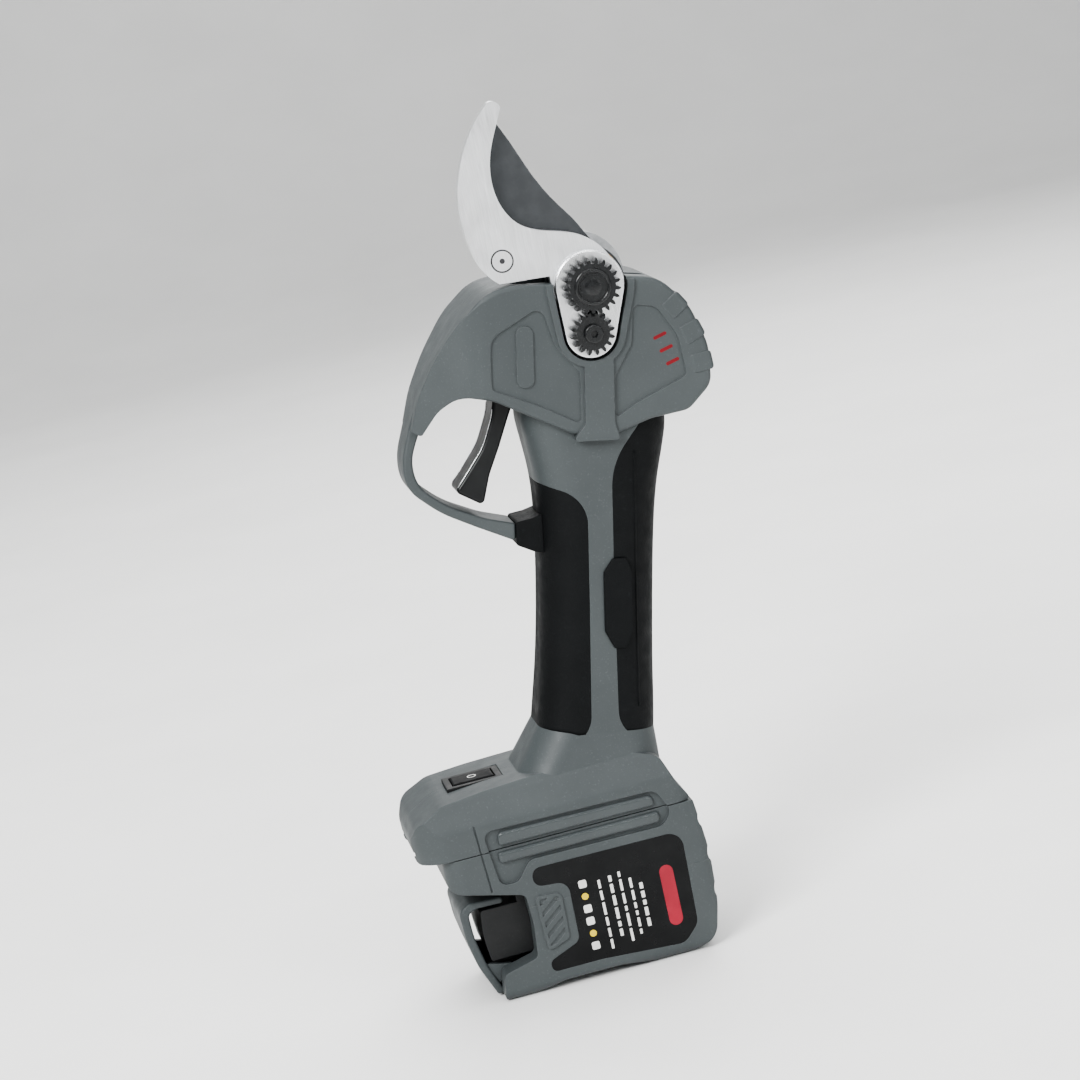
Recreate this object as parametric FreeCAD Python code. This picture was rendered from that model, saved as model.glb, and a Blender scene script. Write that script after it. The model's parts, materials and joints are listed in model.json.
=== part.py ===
"""Battery electric pruner: steel hook and powered cutting blade on a leaning pistol handle
that stands on a slide-on battery pack. Millimetres.

Two frames are used. The row frame has +Z up, +X towards the user's palm side (back), -Y towards
the left flank, and its origin on the floor under the battery's front lip, in the mid plane.
The tool frame follows the handle: its origin is the blade pivot, z runs up along the handle.
lean() carries a shape from the tool frame to the row frame.
"""
import FreeCAD
import Part
import math
import os

V = FreeCAD.Vector
X, Y, Z = V(1, 0, 0), V(0, 1, 0), V(0, 0, 1)
os.makedirs("parts", exist_ok=True)

# ---------------------------------------------------------------- driving dimensions
LEAN = 10.8                     # the handle leans back from the vertical by this many degrees
PIVOT_FROM_LIP = (30.1, 232.5)  # the pivot, seen from the battery lip, in the tool frame
DRIVE_TILT = 1.2                # the motor axis against the handle axis, degrees

HEAD_HALF = 20.0                # half thickness of the head
GRIP_HALF = 17.0                # half thickness of the handle
FOOT_HALF = 23.0                # half thickness of the foot and of the battery
GUARD_HALF = 8.0                # half width of the trigger guard
WALL = 2.4                      # shell wall
RUBBER = 1.6                    # thickness of the rubber overmould
FIT = 0.3                       # gap between pieces that move past each other

PART_Z = 51.5                   # plane on which the battery slides, above the floor
SLOT_TOP = PART_Z + 3.8         # roof of the T slot in the foot
PACK_FRONT, PACK_REAR = -14.0, 72.6
LIP_FRONT = -4.0

NUT_TOP, PLATE_TOP, HOOK_TOP, BLADE_TOP, GEAR_TOP = -25.0, -20.4, -17.2, -12.6, -8.6
HOOK_BACK = -13.2
GEAR_HUB_END = 2.0
PLATE_R, PLATE_LOW_R = 11.2, 8.4
STAR_MODULE, STAR_TEETH, LOCK_TEETH = 0.8, 21, 16
LOCK_DROP = STAR_MODULE * (STAR_TEETH + LOCK_TEETH) / 2  # lock pinion below the pivot

BOLT_R, BUSH_R = 4.0, 5.2
BEVEL_MODULE, BEVEL_TEETH, PINION_TEETH, BEVEL_FACE = 0.8, 40, 12, 5.0
BLADE_TRAVEL = 48.0             # opening angle of the cutting blade

PLANET_MODULE, SUN_TEETH, PLANET_TEETH, RING_TEETH = 0.5, 12, 15, 42
PLANET_ORBIT = PLANET_MODULE * (SUN_TEETH + PLANET_TEETH) / 2
RING_PHASE = math.pi / 2        # a ring tooth space has to face each planet's outer tooth
GEARBOX_R, MOTOR_R = 11.9, 11.4
BEARING_TOP, GEARBOX_TOP, GEARBOX_END, MOTOR_END = -18.5, -34.0, -49.0, -90.0

TRIGGER_PIN = (-26.0, -29.0)
TRIGGER_HALF = 7.0

SWITCH_X = (-6.0, 13.0)         # front and rear of the power switch on the nose of the foot
TERMINAL_Y = (-7.5, -2.5, 2.5, 7.5)

CELL_R, CELL_LENGTH = 9.15, 49.0
CELL_PITCH = 18.6
CELL_FRONT, CELL_LOW_Z = 14.6, 15.6
CELL_END = CELL_FRONT + CELL_LENGTH
LATCH_PIN = (0.8, 7.6)
LATCH_HALF = 15.0
PACK_SEAM = 30.0                # height at which the battery case divides into tub and lid


# ---------------------------------------------------------------- helpers
def lean(shape):
    """A copy of a tool-frame shape, placed in the row frame."""
    placed = shape.copy()
    placed.translate(V(PIVOT_FROM_LIP[0], 0, PIVOT_FROM_LIP[1]))
    placed.rotate(V(0, 0, 0), Y, LEAN)
    return placed


def drive(shape):
    """A copy of a drive-train shape, built along -Z from the pivot, placed in the row frame."""
    placed = shape.copy()
    placed.rotate(V(0, 0, 0), Y, -DRIVE_TILT)
    return lean(placed)


def corner_wire(points, at):
    """A closed wire through points (a, b, radius), rounded at its corners; at(a, b) gives the place."""
    count = len(points)
    arcs = []
    for i, (a, b, radius) in enumerate(points):
        here = V(a, b, 0)
        back = V(*points[i - 1][:2], 0) - here
        ahead = V(*points[(i + 1) % count][:2], 0) - here
        reach = min(back.Length, ahead.Length) * 0.49
        back.normalize()
        ahead.normalize()
        half = back.getAngle(ahead) / 2
        if radius <= 0 or half > math.radians(89.5):
            arcs.append((here, None, here))
            continue
        cut = min(radius / math.tan(half), reach)
        radius = cut * math.tan(half)
        middle = back + ahead
        middle.normalize()
        centre = here + middle * (radius / math.sin(half))
        arcs.append((here + back * cut, centre - middle * radius, here + ahead * cut))
    edges = []
    for i, (start, mid, end) in enumerate(arcs):
        if mid is not None:
            edges.append(Part.Arc(at(start), at(mid), at(end)).toShape())
        following = arcs[(i + 1) % count][0]
        if (following - end).Length > 1e-4:
            edges.append(Part.LineSegment(at(end), at(following)).toShape())
    return Part.Wire(edges)


def side_wire(points, y=0.0):
    return corner_wire(points, lambda p: V(p.x, y, p.y))


def side_prism(points, y0, y1):
    """A side-view outline, swept across the thickness from y0 to y1."""
    return Part.Face(side_wire(points, y0)).extrude(V(0, y1 - y0, 0))


def plan_prism(points, z0, z1):
    wire = corner_wire(points, lambda p: V(p.x, p.y, z0))
    return Part.Face(wire).extrude(V(0, 0, z1 - z0))


def front_prism(points, x0, x1):
    wire = corner_wire(points, lambda p: V(x0, p.x, p.y))
    return Part.Face(wire).extrude(V(x1 - x0, 0, 0))


def soften(solid, y0, y1, radius):
    """Rounds the outline edges that lie in the planes y0 and y1."""
    rims = [e for e in solid.Edges
            if all(min(abs(v.Y - y0), abs(v.Y - y1)) < 1e-6 for v in e.Vertexes)
            and abs(e.BoundBox.YLength) < 1e-6]
    for attempt in (radius, radius * 0.6, radius * 0.3):
        try:
            rounded = solid.makeFillet(attempt, rims)
            if rounded.isValid() and rounded.Volume > 0.6 * solid.Volume:
                return rounded
        except Exception:
            continue
    print("no rounding on an outline of", len(rims), "edges")
    return solid


def block(x0, x1, y0, y1, z0, z1):
    return Part.makeBox(x1 - x0, y1 - y0, z1 - z0, V(x0, y0, z0))


def pin_y(u, w, radius, y0, y1):
    return Part.makeCylinder(radius, y1 - y0, V(u, y0, w), Y)


def pin_z(u, y, radius, z0, z1):
    return Part.makeCylinder(radius, z1 - z0, V(u, y, z0), Z)


def tube_z(radius, bore, z0, z1):
    return pin_z(0, 0, radius, z0, z1).cut(pin_z(0, 0, bore, z0 - 1, z1 + 1))


def both_sides(shape):
    """The shape and its mirror image across the mid plane."""
    return shape, shape.mirror(V(0, 0, 0), Y)


def union(shapes):
    first, *rest = shapes
    return first.multiFuse(rest).removeSplitter() if rest else first


def pear(low, top_r, low_r, y0, y1):
    """Two discs, one on the pivot and one at w = low, joined by their tangents."""
    slope = math.asin((top_r - low_r) / -low)
    c, s = math.cos(slope), math.sin(slope)
    right_top, left_top = V(top_r * c, y0, -top_r * s), V(-top_r * c, y0, -top_r * s)
    right_low, left_low = V(low_r * c, y0, low - low_r * s), V(-low_r * c, y0, low - low_r * s)
    wire = Part.Wire([
        Part.Arc(right_top, V(0, y0, top_r), left_top).toShape(),
        Part.LineSegment(left_top, left_low).toShape(),
        Part.Arc(left_low, V(0, y0, low - low_r), right_low).toShape(),
        Part.LineSegment(right_low, right_top).toShape(),
    ])
    return Part.Face(wire).extrude(V(0, y1 - y0, 0))


def spline(points, y):
    curve = Part.BSplineCurve()
    curve.interpolate([V(u, y, w) for u, w in points])
    return curve.toShape()


def save(name, *solids):
    """Writes one node, made of one or more closed solids in the row frame."""
    kept = [s for shape in solids for s in (shape.Solids or [shape])]
    bad = [s for s in kept if not s.isValid() or s.Volume <= 0]
    if bad:
        print("check", name, "has", len(bad), "bad solids")
    shape = kept[0] if len(kept) == 1 else Part.makeCompound(kept)
    shape.exportStep("parts/" + name + ".step")
    BUILT[name] = shape


BUILT = {}


# ---------------------------------------------------------------- gear teeth
def involute(angle):
    return math.tan(angle) - angle


def flank(teeth, module, backlash, outside, root):
    """Half a tooth: (radius, half angle) pairs from root to tip of an involute spur gear."""
    pressure = math.radians(20)
    pitch = module * teeth / 2
    base = pitch * math.cos(pressure)
    half = math.pi / (2 * teeth) - backlash / (2 * pitch) + involute(pressure)
    pairs = []
    for k in range(6):
        radius = root + (outside - root) * k / 5
        rolled = math.acos(base / radius) if radius > base else 0.0
        pairs.append((radius, half - involute(rolled)))
    return pairs


def spur_outline(teeth, module, phase=0.0, backlash=0.1, internal=False):
    """Points of a whole spur gear outline; an internal outline is the space of a ring gear."""
    pitch = module * teeth / 2
    outside, root = pitch + module, pitch - 1.25 * module
    if internal:
        outside, root, backlash = pitch + 1.25 * module, pitch - 0.9 * module, -backlash
    pairs = flank(teeth, module, backlash, outside, root)
    points = []
    for i in range(teeth):
        centre = phase + 2 * math.pi * i / teeth
        for sign in (-1, 1):
            for radius, half in pairs if sign < 0 else reversed(pairs):
                angle = centre + sign * half
                points.append((radius * math.cos(angle), radius * math.sin(angle)))
    return points


def spur_prism(points, z0, z1):
    wire = Part.makePolygon([V(a, b, z0) for a, b in points + points[:1]])
    return Part.Face(wire).extrude(V(0, 0, z1 - z0))


def bevel_tooth(pitch_r, apex_drop, teeth, module, face, angle):
    """One straight bevel tooth about +Z, its apex at the origin and its body below the pitch cone."""
    length = math.hypot(pitch_r, apex_drop)
    sin_c, cos_c = pitch_r / length, apex_drop / length
    virtual = pitch_r / cos_c
    virtual_teeth = 2 * virtual / module
    root, outside = virtual - 1.55 * module, virtual + 0.9 * module
    pairs = flank(virtual_teeth, module, 0.16, outside, root)
    ring = []
    for sign in (-1, 1):
        for radius, half in pairs if sign < 0 else reversed(pairs):
            height, across = radius * math.cos(half) - virtual, radius * math.sin(half) * sign
            ring.append(V(pitch_r + height * cos_c, across, apex_drop - height * sin_c))
    near = [p * ((length - face) / length) for p in ring]
    wires = [Part.makePolygon(loop + loop[:1]) for loop in (ring, near)]
    tooth = Part.makeLoft(wires, True, True)
    tooth.rotate(V(0, 0, 0), Z, angle)
    return tooth


def bevel_body(pitch_r, apex_drop, module, face, back, hub_r, hub_z, start, sweep):
    """The blank under the teeth: a cone frustum about +Z, and a disc behind it down to `back`."""
    length = math.hypot(pitch_r, apex_drop)
    sin_c, cos_c = pitch_r / length, apex_drop / length
    root = 1.3 * module
    big = (pitch_r - root * cos_c, apex_drop + root * sin_c)
    small = tuple(v * (length - face) / length for v in big)
    outline = [big, small, (hub_r, small[1]), (hub_r, hub_z), (0, hub_z), (0, back), (big[0], back)]
    wire = Part.makePolygon([V(r, 0, z) for r, z in outline + outline[:1]])
    blank = Part.Face(wire).revolve(V(0, 0, 0), Z, sweep)
    blank.rotate(V(0, 0, 0), Z, start)
    return blank


# ---------------------------------------------------------------- blades and their clamp
def counter_blade():
    outer = [(-28.4, 1.4), (-33.8, 6.1), (-37.6, 13.5), (-39.9, 20.7), (-40.9, 28.8),
             (-40.2, 36.7), (-37.9, 45.5), (-34.1, 53.4), (-31.6, 56.9)]
    inner = [(-26.6, 56.4), (-28.6, 49.2), (-30.1, 42.5), (-30.3, 36.2), (-29.1, 30.0),
             (-26.2, 24.3), (-21.6, 20.0), (-15.4, 17.9), (-8.7, 17.2), (-2.0, 15.8),
             (3.0, 13.1), (7.0, 9.0), (9.7, 4.0), (10.6, -1.4)]
    y = HOOK_TOP
    tail_r = PLATE_LOW_R - 0.8
    edges = [
        spline(outer, y),
        Part.Arc(V(*vec(outer[-1], y)), V(-29.0, y, 58.5), V(*vec(inner[0], y))).toShape(),
        spline(inner, y),
        line(inner[-1], (tail_r, -LOCK_DROP), y),
        Part.Arc(V(tail_r, y, -LOCK_DROP), V(0, y, -LOCK_DROP - tail_r),
                 V(-tail_r, y, -LOCK_DROP)).toShape(),
        line((-tail_r, -LOCK_DROP), (-11.0, -3.0), y),
        line((-11.0, -3.0), (-12.4, 3.2), y),
        line((-12.4, 3.2), outer[0], y),
    ]
    plate = Part.Face(Part.Wire(edges)).extrude(V(0, HOOK_BACK - HOOK_TOP, 0))
    plate = plate.cut(pin_y(0, 0, BOLT_R + 0.05, -30, 30))
    return plate.cut(pin_y(0, -LOCK_DROP, 1.6, -30, 30))


def vec(point, y):
    return point[0], y, point[1]


def line(a, b, y):
    return Part.LineSegment(V(*vec(a, y)), V(*vec(b, y))).toShape()


BLADE_PINS = [(9.2 * math.cos(math.radians(a)), 9.2 * math.sin(math.radians(a)))
              for a in (20, 150, 270)]


def cutting_blade():
    """The moving blade: sharp convex edge in front, straight back, round hub on the pivot."""
    thickness = GEAR_TOP - BLADE_TOP
    edge = [(-28.3, 52.6), (-32.4, 46.0), (-35.4, 37.0), (-34.8, 28.0), (-31.0, 19.6),
            (-24.5, 12.6), (-16.6, 7.2), (-12.6, 0.0)]
    back = [(4.5, 11.8), (0.6, 15.6), (-3.2, 20.3), (-8.2, 25.3), (-14.6, 32.6),
            (-21.4, 42.8), (-28.3, 52.6)]
    y = BLADE_TOP
    hub = Part.Arc(V(-12.6, y, 0.0), V(0, y, -12.6), V(12.6, y, 0.0)).toShape()
    shoulder = Part.Arc(V(12.6, y, 0.0), V(10.6, y, 6.8), V(4.5, y, 11.8)).toShape()
    face = Part.Face(Part.Wire([spline(edge, y), hub, shoulder, spline(back, y)]))
    blade = face.extrude(V(0, thickness, 0))
    cutting = [e for e in blade.Edges
               if e.Length > 60 and all(abs(v.Y - GEAR_TOP) < 1e-6 for v in e.Vertexes)
               and e.CenterOfMass.x < -22]
    blade = blade.makeChamfer(2.6, 3.6, cutting)
    for u, w in BLADE_PINS:
        blade = blade.cut(pin_y(u, w, 1.5, -30, 30))
    return blade.cut(pin_y(0, 0, BUSH_R, -30, 30))


def blade_gear():
    """Bevel sector about the pivot; it faces +Y and only spans the blade's travel."""
    pitch_r = BEVEL_MODULE * BEVEL_TEETH / 2
    drop = BEVEL_MODULE * PINION_TEETH / 2
    step = 360 / BEVEL_TEETH
    first, last = -2, math.ceil(BLADE_TRAVEL / step) + 1
    pieces = [bevel_tooth(pitch_r, drop, BEVEL_TEETH, BEVEL_MODULE, BEVEL_FACE, i * step)
              for i in range(first, last + 1)]
    start, sweep = (first - 0.6) * step, (last - first + 1.2) * step
    depth = -GEAR_TOP
    pieces.append(bevel_body(pitch_r, drop, BEVEL_MODULE, BEVEL_FACE, depth, 8.0,
                             depth - 3.0, start, sweep))
    pieces.append(Part.makeCylinder(12.0, 3.0, V(0, 0, depth - 3.0)))
    pieces.append(Part.makeCylinder(8.0, depth + GEAR_HUB_END, V(0, 0, -GEAR_HUB_END)))
    gear = union(pieces)
    # the gear axis turns from +Z to -Y, and the 0 degree tooth points down the handle
    gear.rotate(V(0, 0, 0), X, 90)
    gear.rotate(V(0, 0, 0), Y, 90 - DRIVE_TILT)
    for u, w in BLADE_PINS:
        gear = gear.cut(pin_y(u, w, 1.5, -30, 30))
    return gear.cut(pin_y(0, 0, BUSH_R, -30, 30))


def star_wheel(teeth, y0, y1, u, w, phase, bore):
    """A toothed disc of the blade clamp, chamfered on its outer face."""
    points = spur_outline(teeth, STAR_MODULE, phase, backlash=0.25)
    wheel = spur_prism(points, 0, y1 - y0)
    wheel.rotate(V(0, 0, 0), X, -90)
    wheel.translate(V(u, y0, w))
    tip = STAR_MODULE * (teeth / 2 + 1)
    rim = Part.makeCone(tip - 0.9, tip + y1 - y0 - 0.9, y1 - y0, V(u, y0, w), Y)
    return wheel.common(rim).cut(pin_y(u, w, bore, -40, 40))


# ---------------------------------------------------------------- housing outlines (tool frame)
HEAD = [(12.0, 2.6, 3), (22.0, 1.8, 14), (32.0, -7.5, 18), (38.2, -20.5, 18), (39.0, -33.0, 7),
        (31.5, -41.2, 6), (19.0, -43.5, 12), (6.0, -48.5, 12), (-6.0, -47.5, 14),
        (-20.0, -41.0, 20), (-32.0, -35.4, 16), (-42.5, -33.6, 10), (-49.0, -38.4, 12),
        (-54.2, -46.5, 1), (-57.4, -45.2, 1), (-55.0, -34.6, 40), (-50.0, -23.0, 60),
        (-42.7, -11.0, 40), (-33.0, -1.0, 16), (-22.0, 1.6, 20), (-13.0, 2.0, 2)]
GUARD = [(-49.0, -36.5, 1), (-53.8, -32.0, 1), (-57.6, -44.0, 40), (-60.4, -55.5, 26),
         (-58.8, -64.5, 14), (-48.4, -72.4, 40), (-36.5, -77.7, 40), (-24.0, -82.9, 1),
         (-24.0, -77.0, 1), (-34.0, -74.8, 30), (-46.0, -70.2, 30), (-55.4, -63.4, 12),
         (-57.2, -55.0, 14), (-54.4, -45.6, 40)]
HEAD_PLAN = [(-70.0, 7.5), (-58.0, 10.5), (-40.0, 19.0), (-34.0, HEAD_HALF)]  # u, half thickness
GRIP_SECTIONS = [  # w, front u, back u, half thickness, corner radius
    (-38.0, -21.0, 24.0, 17.0, 10.0), (-50.0, -20.0, 25.5, 17.0, 11.0),
    (-63.0, -17.2, 23.4, 17.0, 12.0), (-80.0, -16.0, 21.9, 17.0, 13.0),
    (-100.0, -16.0, 21.2, 16.6, 13.0), (-128.0, -17.2, 20.6, 17.0, 13.0),
    (-146.0, -18.6, 20.2, 17.4, 12.0), (-160.0, -20.0, 19.6, 18.6, 12.0)]
FRONT_RUBBER = [(-40.0, -64.0, 0), (-19.0, -63.2, 2), (-2.0, -68.5, 12), (-2.0, -104.0, 0),
                (-2.6, -147.0, 9), (-20.0, -152.6, 4), (-40.0, -152.6, 0)]
REAR_RUBBER = [(45.0, -41.6, 0), (27.4, -41.8, 2), (20.5, -38.0, 4), (6.2, -58.0, 24),
               (6.2, -90.0, 0), (6.6, -144.0, 10), (16.5, -151.6, 4), (45.0, -151.6, 0)]
SIDE_PAD = [(5.8, -88.6, 1), (10.2, -88.6, 1), (12.0, -93.0, 1), (12.0, -112.5, 1),
            (9.6, -118.2, 1), (5.8, -118.2, 1), (2.8, -112.5, 1), (2.8, -93.0, 1)]
LEFT_PANEL = [(-32.4, -15.5, 6), (-16.0, -5.8, 3), (-11.6, -19.0, 10), (-3.9, -27.5, 3),
              (-3.9, -44.0, 1), (-18.0, -37.2, 14), (-32.4, -31.8, 2)]
RIGHT_PANEL = [(13.6, -6.6, 2), (21.0, -7.4, 5), (28.0, -17.0, 10), (30.8, -30.0, 2),
               (14.0, -38.2, 8), (7.2, -42.8, 1), (7.2, -29.5, 2), (13.0, -19.0, 4)]
PILL = [(-24.2, -12.0, 2.6), (-18.6, -12.0, 2.6), (-18.6, -31.6, 2.6), (-24.2, -31.6, 2.6)]
RIBS = [(28.2, -6.6, -42), (33.8, -15.4, -28), (37.0, -25.6, -12)]  # u, w and tilt of the thumb ribs

SHELL_SCREWS = [(-44.0, -24.0), (25.6, -8.0), (31.5, -30.0), (-13.2, -53.5),
                (1.6, -122.5), (2.0, -145.0)]
FOOT_SCREWS = [(61.5, 62.6), (-14.2, 58.6)]

# ---------------------------------------------------------------- battery and foot outlines (row frame)
FOOT = [(-21.6, PART_Z, 1.5), (-22.0, 59.5, 4), (-19.6, 64.4, 5), (-10.0, 69.4, 8), (4.0, 70.6, 8),
        (22.0, 71.4, 6), (54.0, 71.0, 6), (62.6, 68.0, 6), (65.8, 58.6, 24),
        (PACK_REAR - 2.4, PART_Z, 1)]
FOOT_SIDE = [(0, PART_Z - 4, 0), (FOOT_HALF, PART_Z - 4, 0), (FOOT_HALF, 60.5, 7),
             (19.4, 70.5, 5), (14.0, 73.5, 0), (0, 73.5, 0)]
COLLAR = [(64.0, 12.0, 64.6, 20.6, 12.0),  # z, front x, rear x, half thickness, corner radius
          (56.0, 2.0, 67.6, 22.6, 10.0)]
PACK = [(PACK_FRONT, PART_Z, 1), (PACK_FRONT, 40.6, 4), (9.9, 34.4, 2.5), (10.4, 24.0, 20),
        (9.4, 12.6, 2), (LIP_FRONT + 1.4, 9.6, 2.5), (LIP_FRONT, 0.0, 2), (5.0, 0.0, 4),
        (17.0, 2.6, 12), (36.0, 2.6, 30), (52.0, 0.0, 6), (60.0, 0.0, 8), (68.6, 3.4, 8),
        (PACK_REAR - 1.0, 16.0, 30), (PACK_REAR, 32.0, 60), (PACK_REAR - 2.4, PART_Z, 1)]
RAIL = [(0.6, 58.4, 3), (58.6, 57.6, 4), (62.6, 49.4, 4), (58.8, 45.2, 4), (13.6, 45.6, 4),
        (8.8, 39.4, 3), (2.8, 39.2, 3)]
LABEL = [(13.4, 42.4, 4.5), (13.4, 36.2, 3), (24.4, 35.2, 4), (24.0, 14.6, 3), (13.2, 10.2, 2),
         (13.2, 6.4, 2), (30.0, 6.4, 14), (58.0, 4.4, 5), (63.4, 10.0, 5), (64.2, 42.0, 5)]
SCALLOPS = [(75.6, 44.2), (76.5, 31.6), (76.2, 19.0)]  # hollows across the rear of the battery
LATCH = [(3.0, 33.4, 1), (-8.0, 33.8, 3), (-12.0, 31.4, 4), (-11.6, 22.0, 30), (-9.8, 12.0, 30),
         (-5.2, 0.9, 0.8), (-2.4, 1.2, 0.8), (-6.6, 11.0, 30), (-8.8, 22.0, 30), (-9.0, 30.0, 2),
         (-6.0, 31.2, 2), (3.0, 31.0, 1)]
TEXTURE_PAD = [(12.6, 33.0, 1.5), (21.4, 32.4, 2), (21.0, 16.6, 1.5), (13.2, 13.6, 1.5)]


def section_wire(front, rear, half, radius, at):
    return corner_wire([(rear, -half, radius), (rear, half, radius),
                        (front, half, radius), (front, -half, radius)], at)


def grip_loft(inset):
    wires = [section_wire(f + inset, b - inset, h - inset, r - inset * 0.6,
                          lambda p, w=w: V(p.x, p.y, w))
             for w, f, b, h, r in GRIP_SECTIONS]
    return Part.makeLoft(wires, True, False)


def foot_solid(inset):
    """The flared foot: side view, front view with shoulders, and rounded corners in plan."""
    profile = inset_prism(FOOT, inset, 40) if inset else side_prism(FOOT, -40, 40)
    shoulders = front_prism(mirrored(FOOT_SIDE, inset), -60, 120)
    wide = FOOT_HALF - inset
    plan = plan_prism([(-22.0 + inset, -wide, 11), (PACK_REAR - inset, -wide, 8),
                       (PACK_REAR - inset, wide, 8), (-22.0 + inset, wide, 11)], PART_Z, 86.0)
    return profile.common(shoulders).common(plan)


def collar_loft(inset):
    """Leads from the foot of the handle, which leans, out to the flat sections of the foot."""
    w, f, b, h, r = GRIP_SECTIONS[-2]
    top = lean(section_wire(f + inset + 0.4, b - inset - 0.4, h - inset - 0.4, r - inset * 0.6,
                            lambda p: V(p.x, p.y, w + 2.0)))
    flat = [section_wire(f2 + inset, b2 - inset, h2 - inset, r2 - inset * 0.6,
                         lambda p, z=z: V(p.x, p.y, z))
            for z, f2, b2, h2, r2 in COLLAR]
    return Part.makeLoft([top] + flat, True, True)


def mirrored(half_outline, inset):
    """A symmetric front-view outline from its right half, drawn in by an inset."""
    right = [(max(y - inset, 0), z, r) for y, z, r in half_outline]
    return right[:-1] + [(0, right[-1][1], 0)] + [(-y, z, r) for y, z, r in reversed(right[1:-1])]


def carve(profile, half, plan_r, front_r, z0, z1, inset=0.0):
    """A solid with this side view, rounded in plan at its corners and along its long edges."""
    x_low = min(p[0] for p in profile) + inset
    x_high = max(p[0] for p in profile) - inset
    wide = half - inset
    plan = plan_prism([(x_low, -wide, plan_r), (x_high, -wide, plan_r * 0.6),
                       (x_high, wide, plan_r * 0.6), (x_low, wide, plan_r)], z0 - 1, z1 + 1)
    front = front_prism([(-wide, z0, front_r), (wide, z0, front_r), (wide, z1, front_r),
                         (-wide, z1, front_r)], x_low - 1, x_high + 1)
    wire = side_wire(profile, -half - 1)
    if inset:
        wire = wire.makeOffset2D(-inset)
    side = Part.Face(wire).extrude(V(0, 2 * half + 2, 0))
    return side.common(plan).common(front)


def inset_prism(profile, inset, half):
    wire = side_wire(profile, -half).makeOffset2D(-inset)
    return Part.Face(wire).extrude(V(0, 2 * half, 0))


def taper_nose(head, inset):
    """Narrows the front of the head towards the trigger guard."""
    right = [(u, half - inset, 14) for u, half in HEAD_PLAN] + [(60.0, HEAD_HALF - inset, 0)]
    left = [(u, -y, r) for u, y, r in reversed(right)]
    return head.common(plan_prism(right + left, -90.0, 20.0))


def housing_outer():
    head = soften(side_prism(HEAD, -HEAD_HALF, HEAD_HALF), -HEAD_HALF, HEAD_HALF, 5.0)
    head = taper_nose(head, 0)
    guard = soften(side_prism(GUARD, -GUARD_HALF, GUARD_HALF), -GUARD_HALF, GUARD_HALF, 1.6)
    return union([lean(head), lean(guard), lean(grip_loft(0)), collar_loft(0), foot_solid(0)])


def housing_cavity():
    head = taper_nose(inset_prism(HEAD, WALL, HEAD_HALF - WALL), WALL)
    head = head.common(block(-46.0, 60.0, -40, 40, -60, 20))
    foot = foot_solid(WALL).common(block(-40, 120, -40, 40, SLOT_TOP + 1.7, 90.0))
    grip = lean(grip_loft(RUBBER + WALL - 0.4)).common(block(-40, 120, -40, 40, 66.0, 300.0))
    return union([lean(head), grip, foot])


def rubber_region(outline):
    return lean(side_prism(outline, -30, 30))


def raised_trim(side):
    """The rim round the clamp plate and the spine below it, standing proud of the head."""
    y0, y1 = (-HEAD_HALF - 0.9, -HEAD_HALF + 2.0) if side < 0 else (HEAD_HALF - 2.0, HEAD_HALF + 0.9)
    rim = pear(-LOCK_DROP, PLATE_R + 3.0, PLATE_LOW_R + 2.8, y0, y1)
    rim = rim.common(block(-40, 40, y0, y1, -40, 1.6))
    spine = side_prism([(-2.6, -18, 0), (6.9, -18, 0), (6.9, -44.0, 1), (8.6, -49.5, 1),
                        (-7.0, -49.5, 1), (-2.6, -44.0, 1)], y0, y1)
    return rim.fuse(spine)


def thumb_rib(u, w, tilt):
    rib = block(-5.0, 2.4, -HEAD_HALF - 0.3, HEAD_HALF + 0.3, -3.0, 3.0)
    rib = rib.makeFillet(1.4, [e for e in rib.Edges if e.BoundBox.XLength + e.BoundBox.YLength < 1e-4
                               or e.BoundBox.YLength > 1.0])
    rib.rotate(V(0, 0, 0), Y, tilt)
    rib.translate(V(u, 0, w))
    return rib


def t_slot(gap, front, rear):
    """The rail by which the battery hangs: a neck and a wider flange, grown by a gap."""
    neck = block(front, rear, -12 - gap, 12 + gap, PART_Z - 1.0, SLOT_TOP - gap - 0.1)
    flange = block(front, rear, -15 - gap, 15 + gap, SLOT_TOP - 1.7 - gap, SLOT_TOP - FIT + gap)
    return neck, flange


def boss(point, place, half):
    post = pin_y(*point, 2.9, -half, half)
    return place(post)


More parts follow.
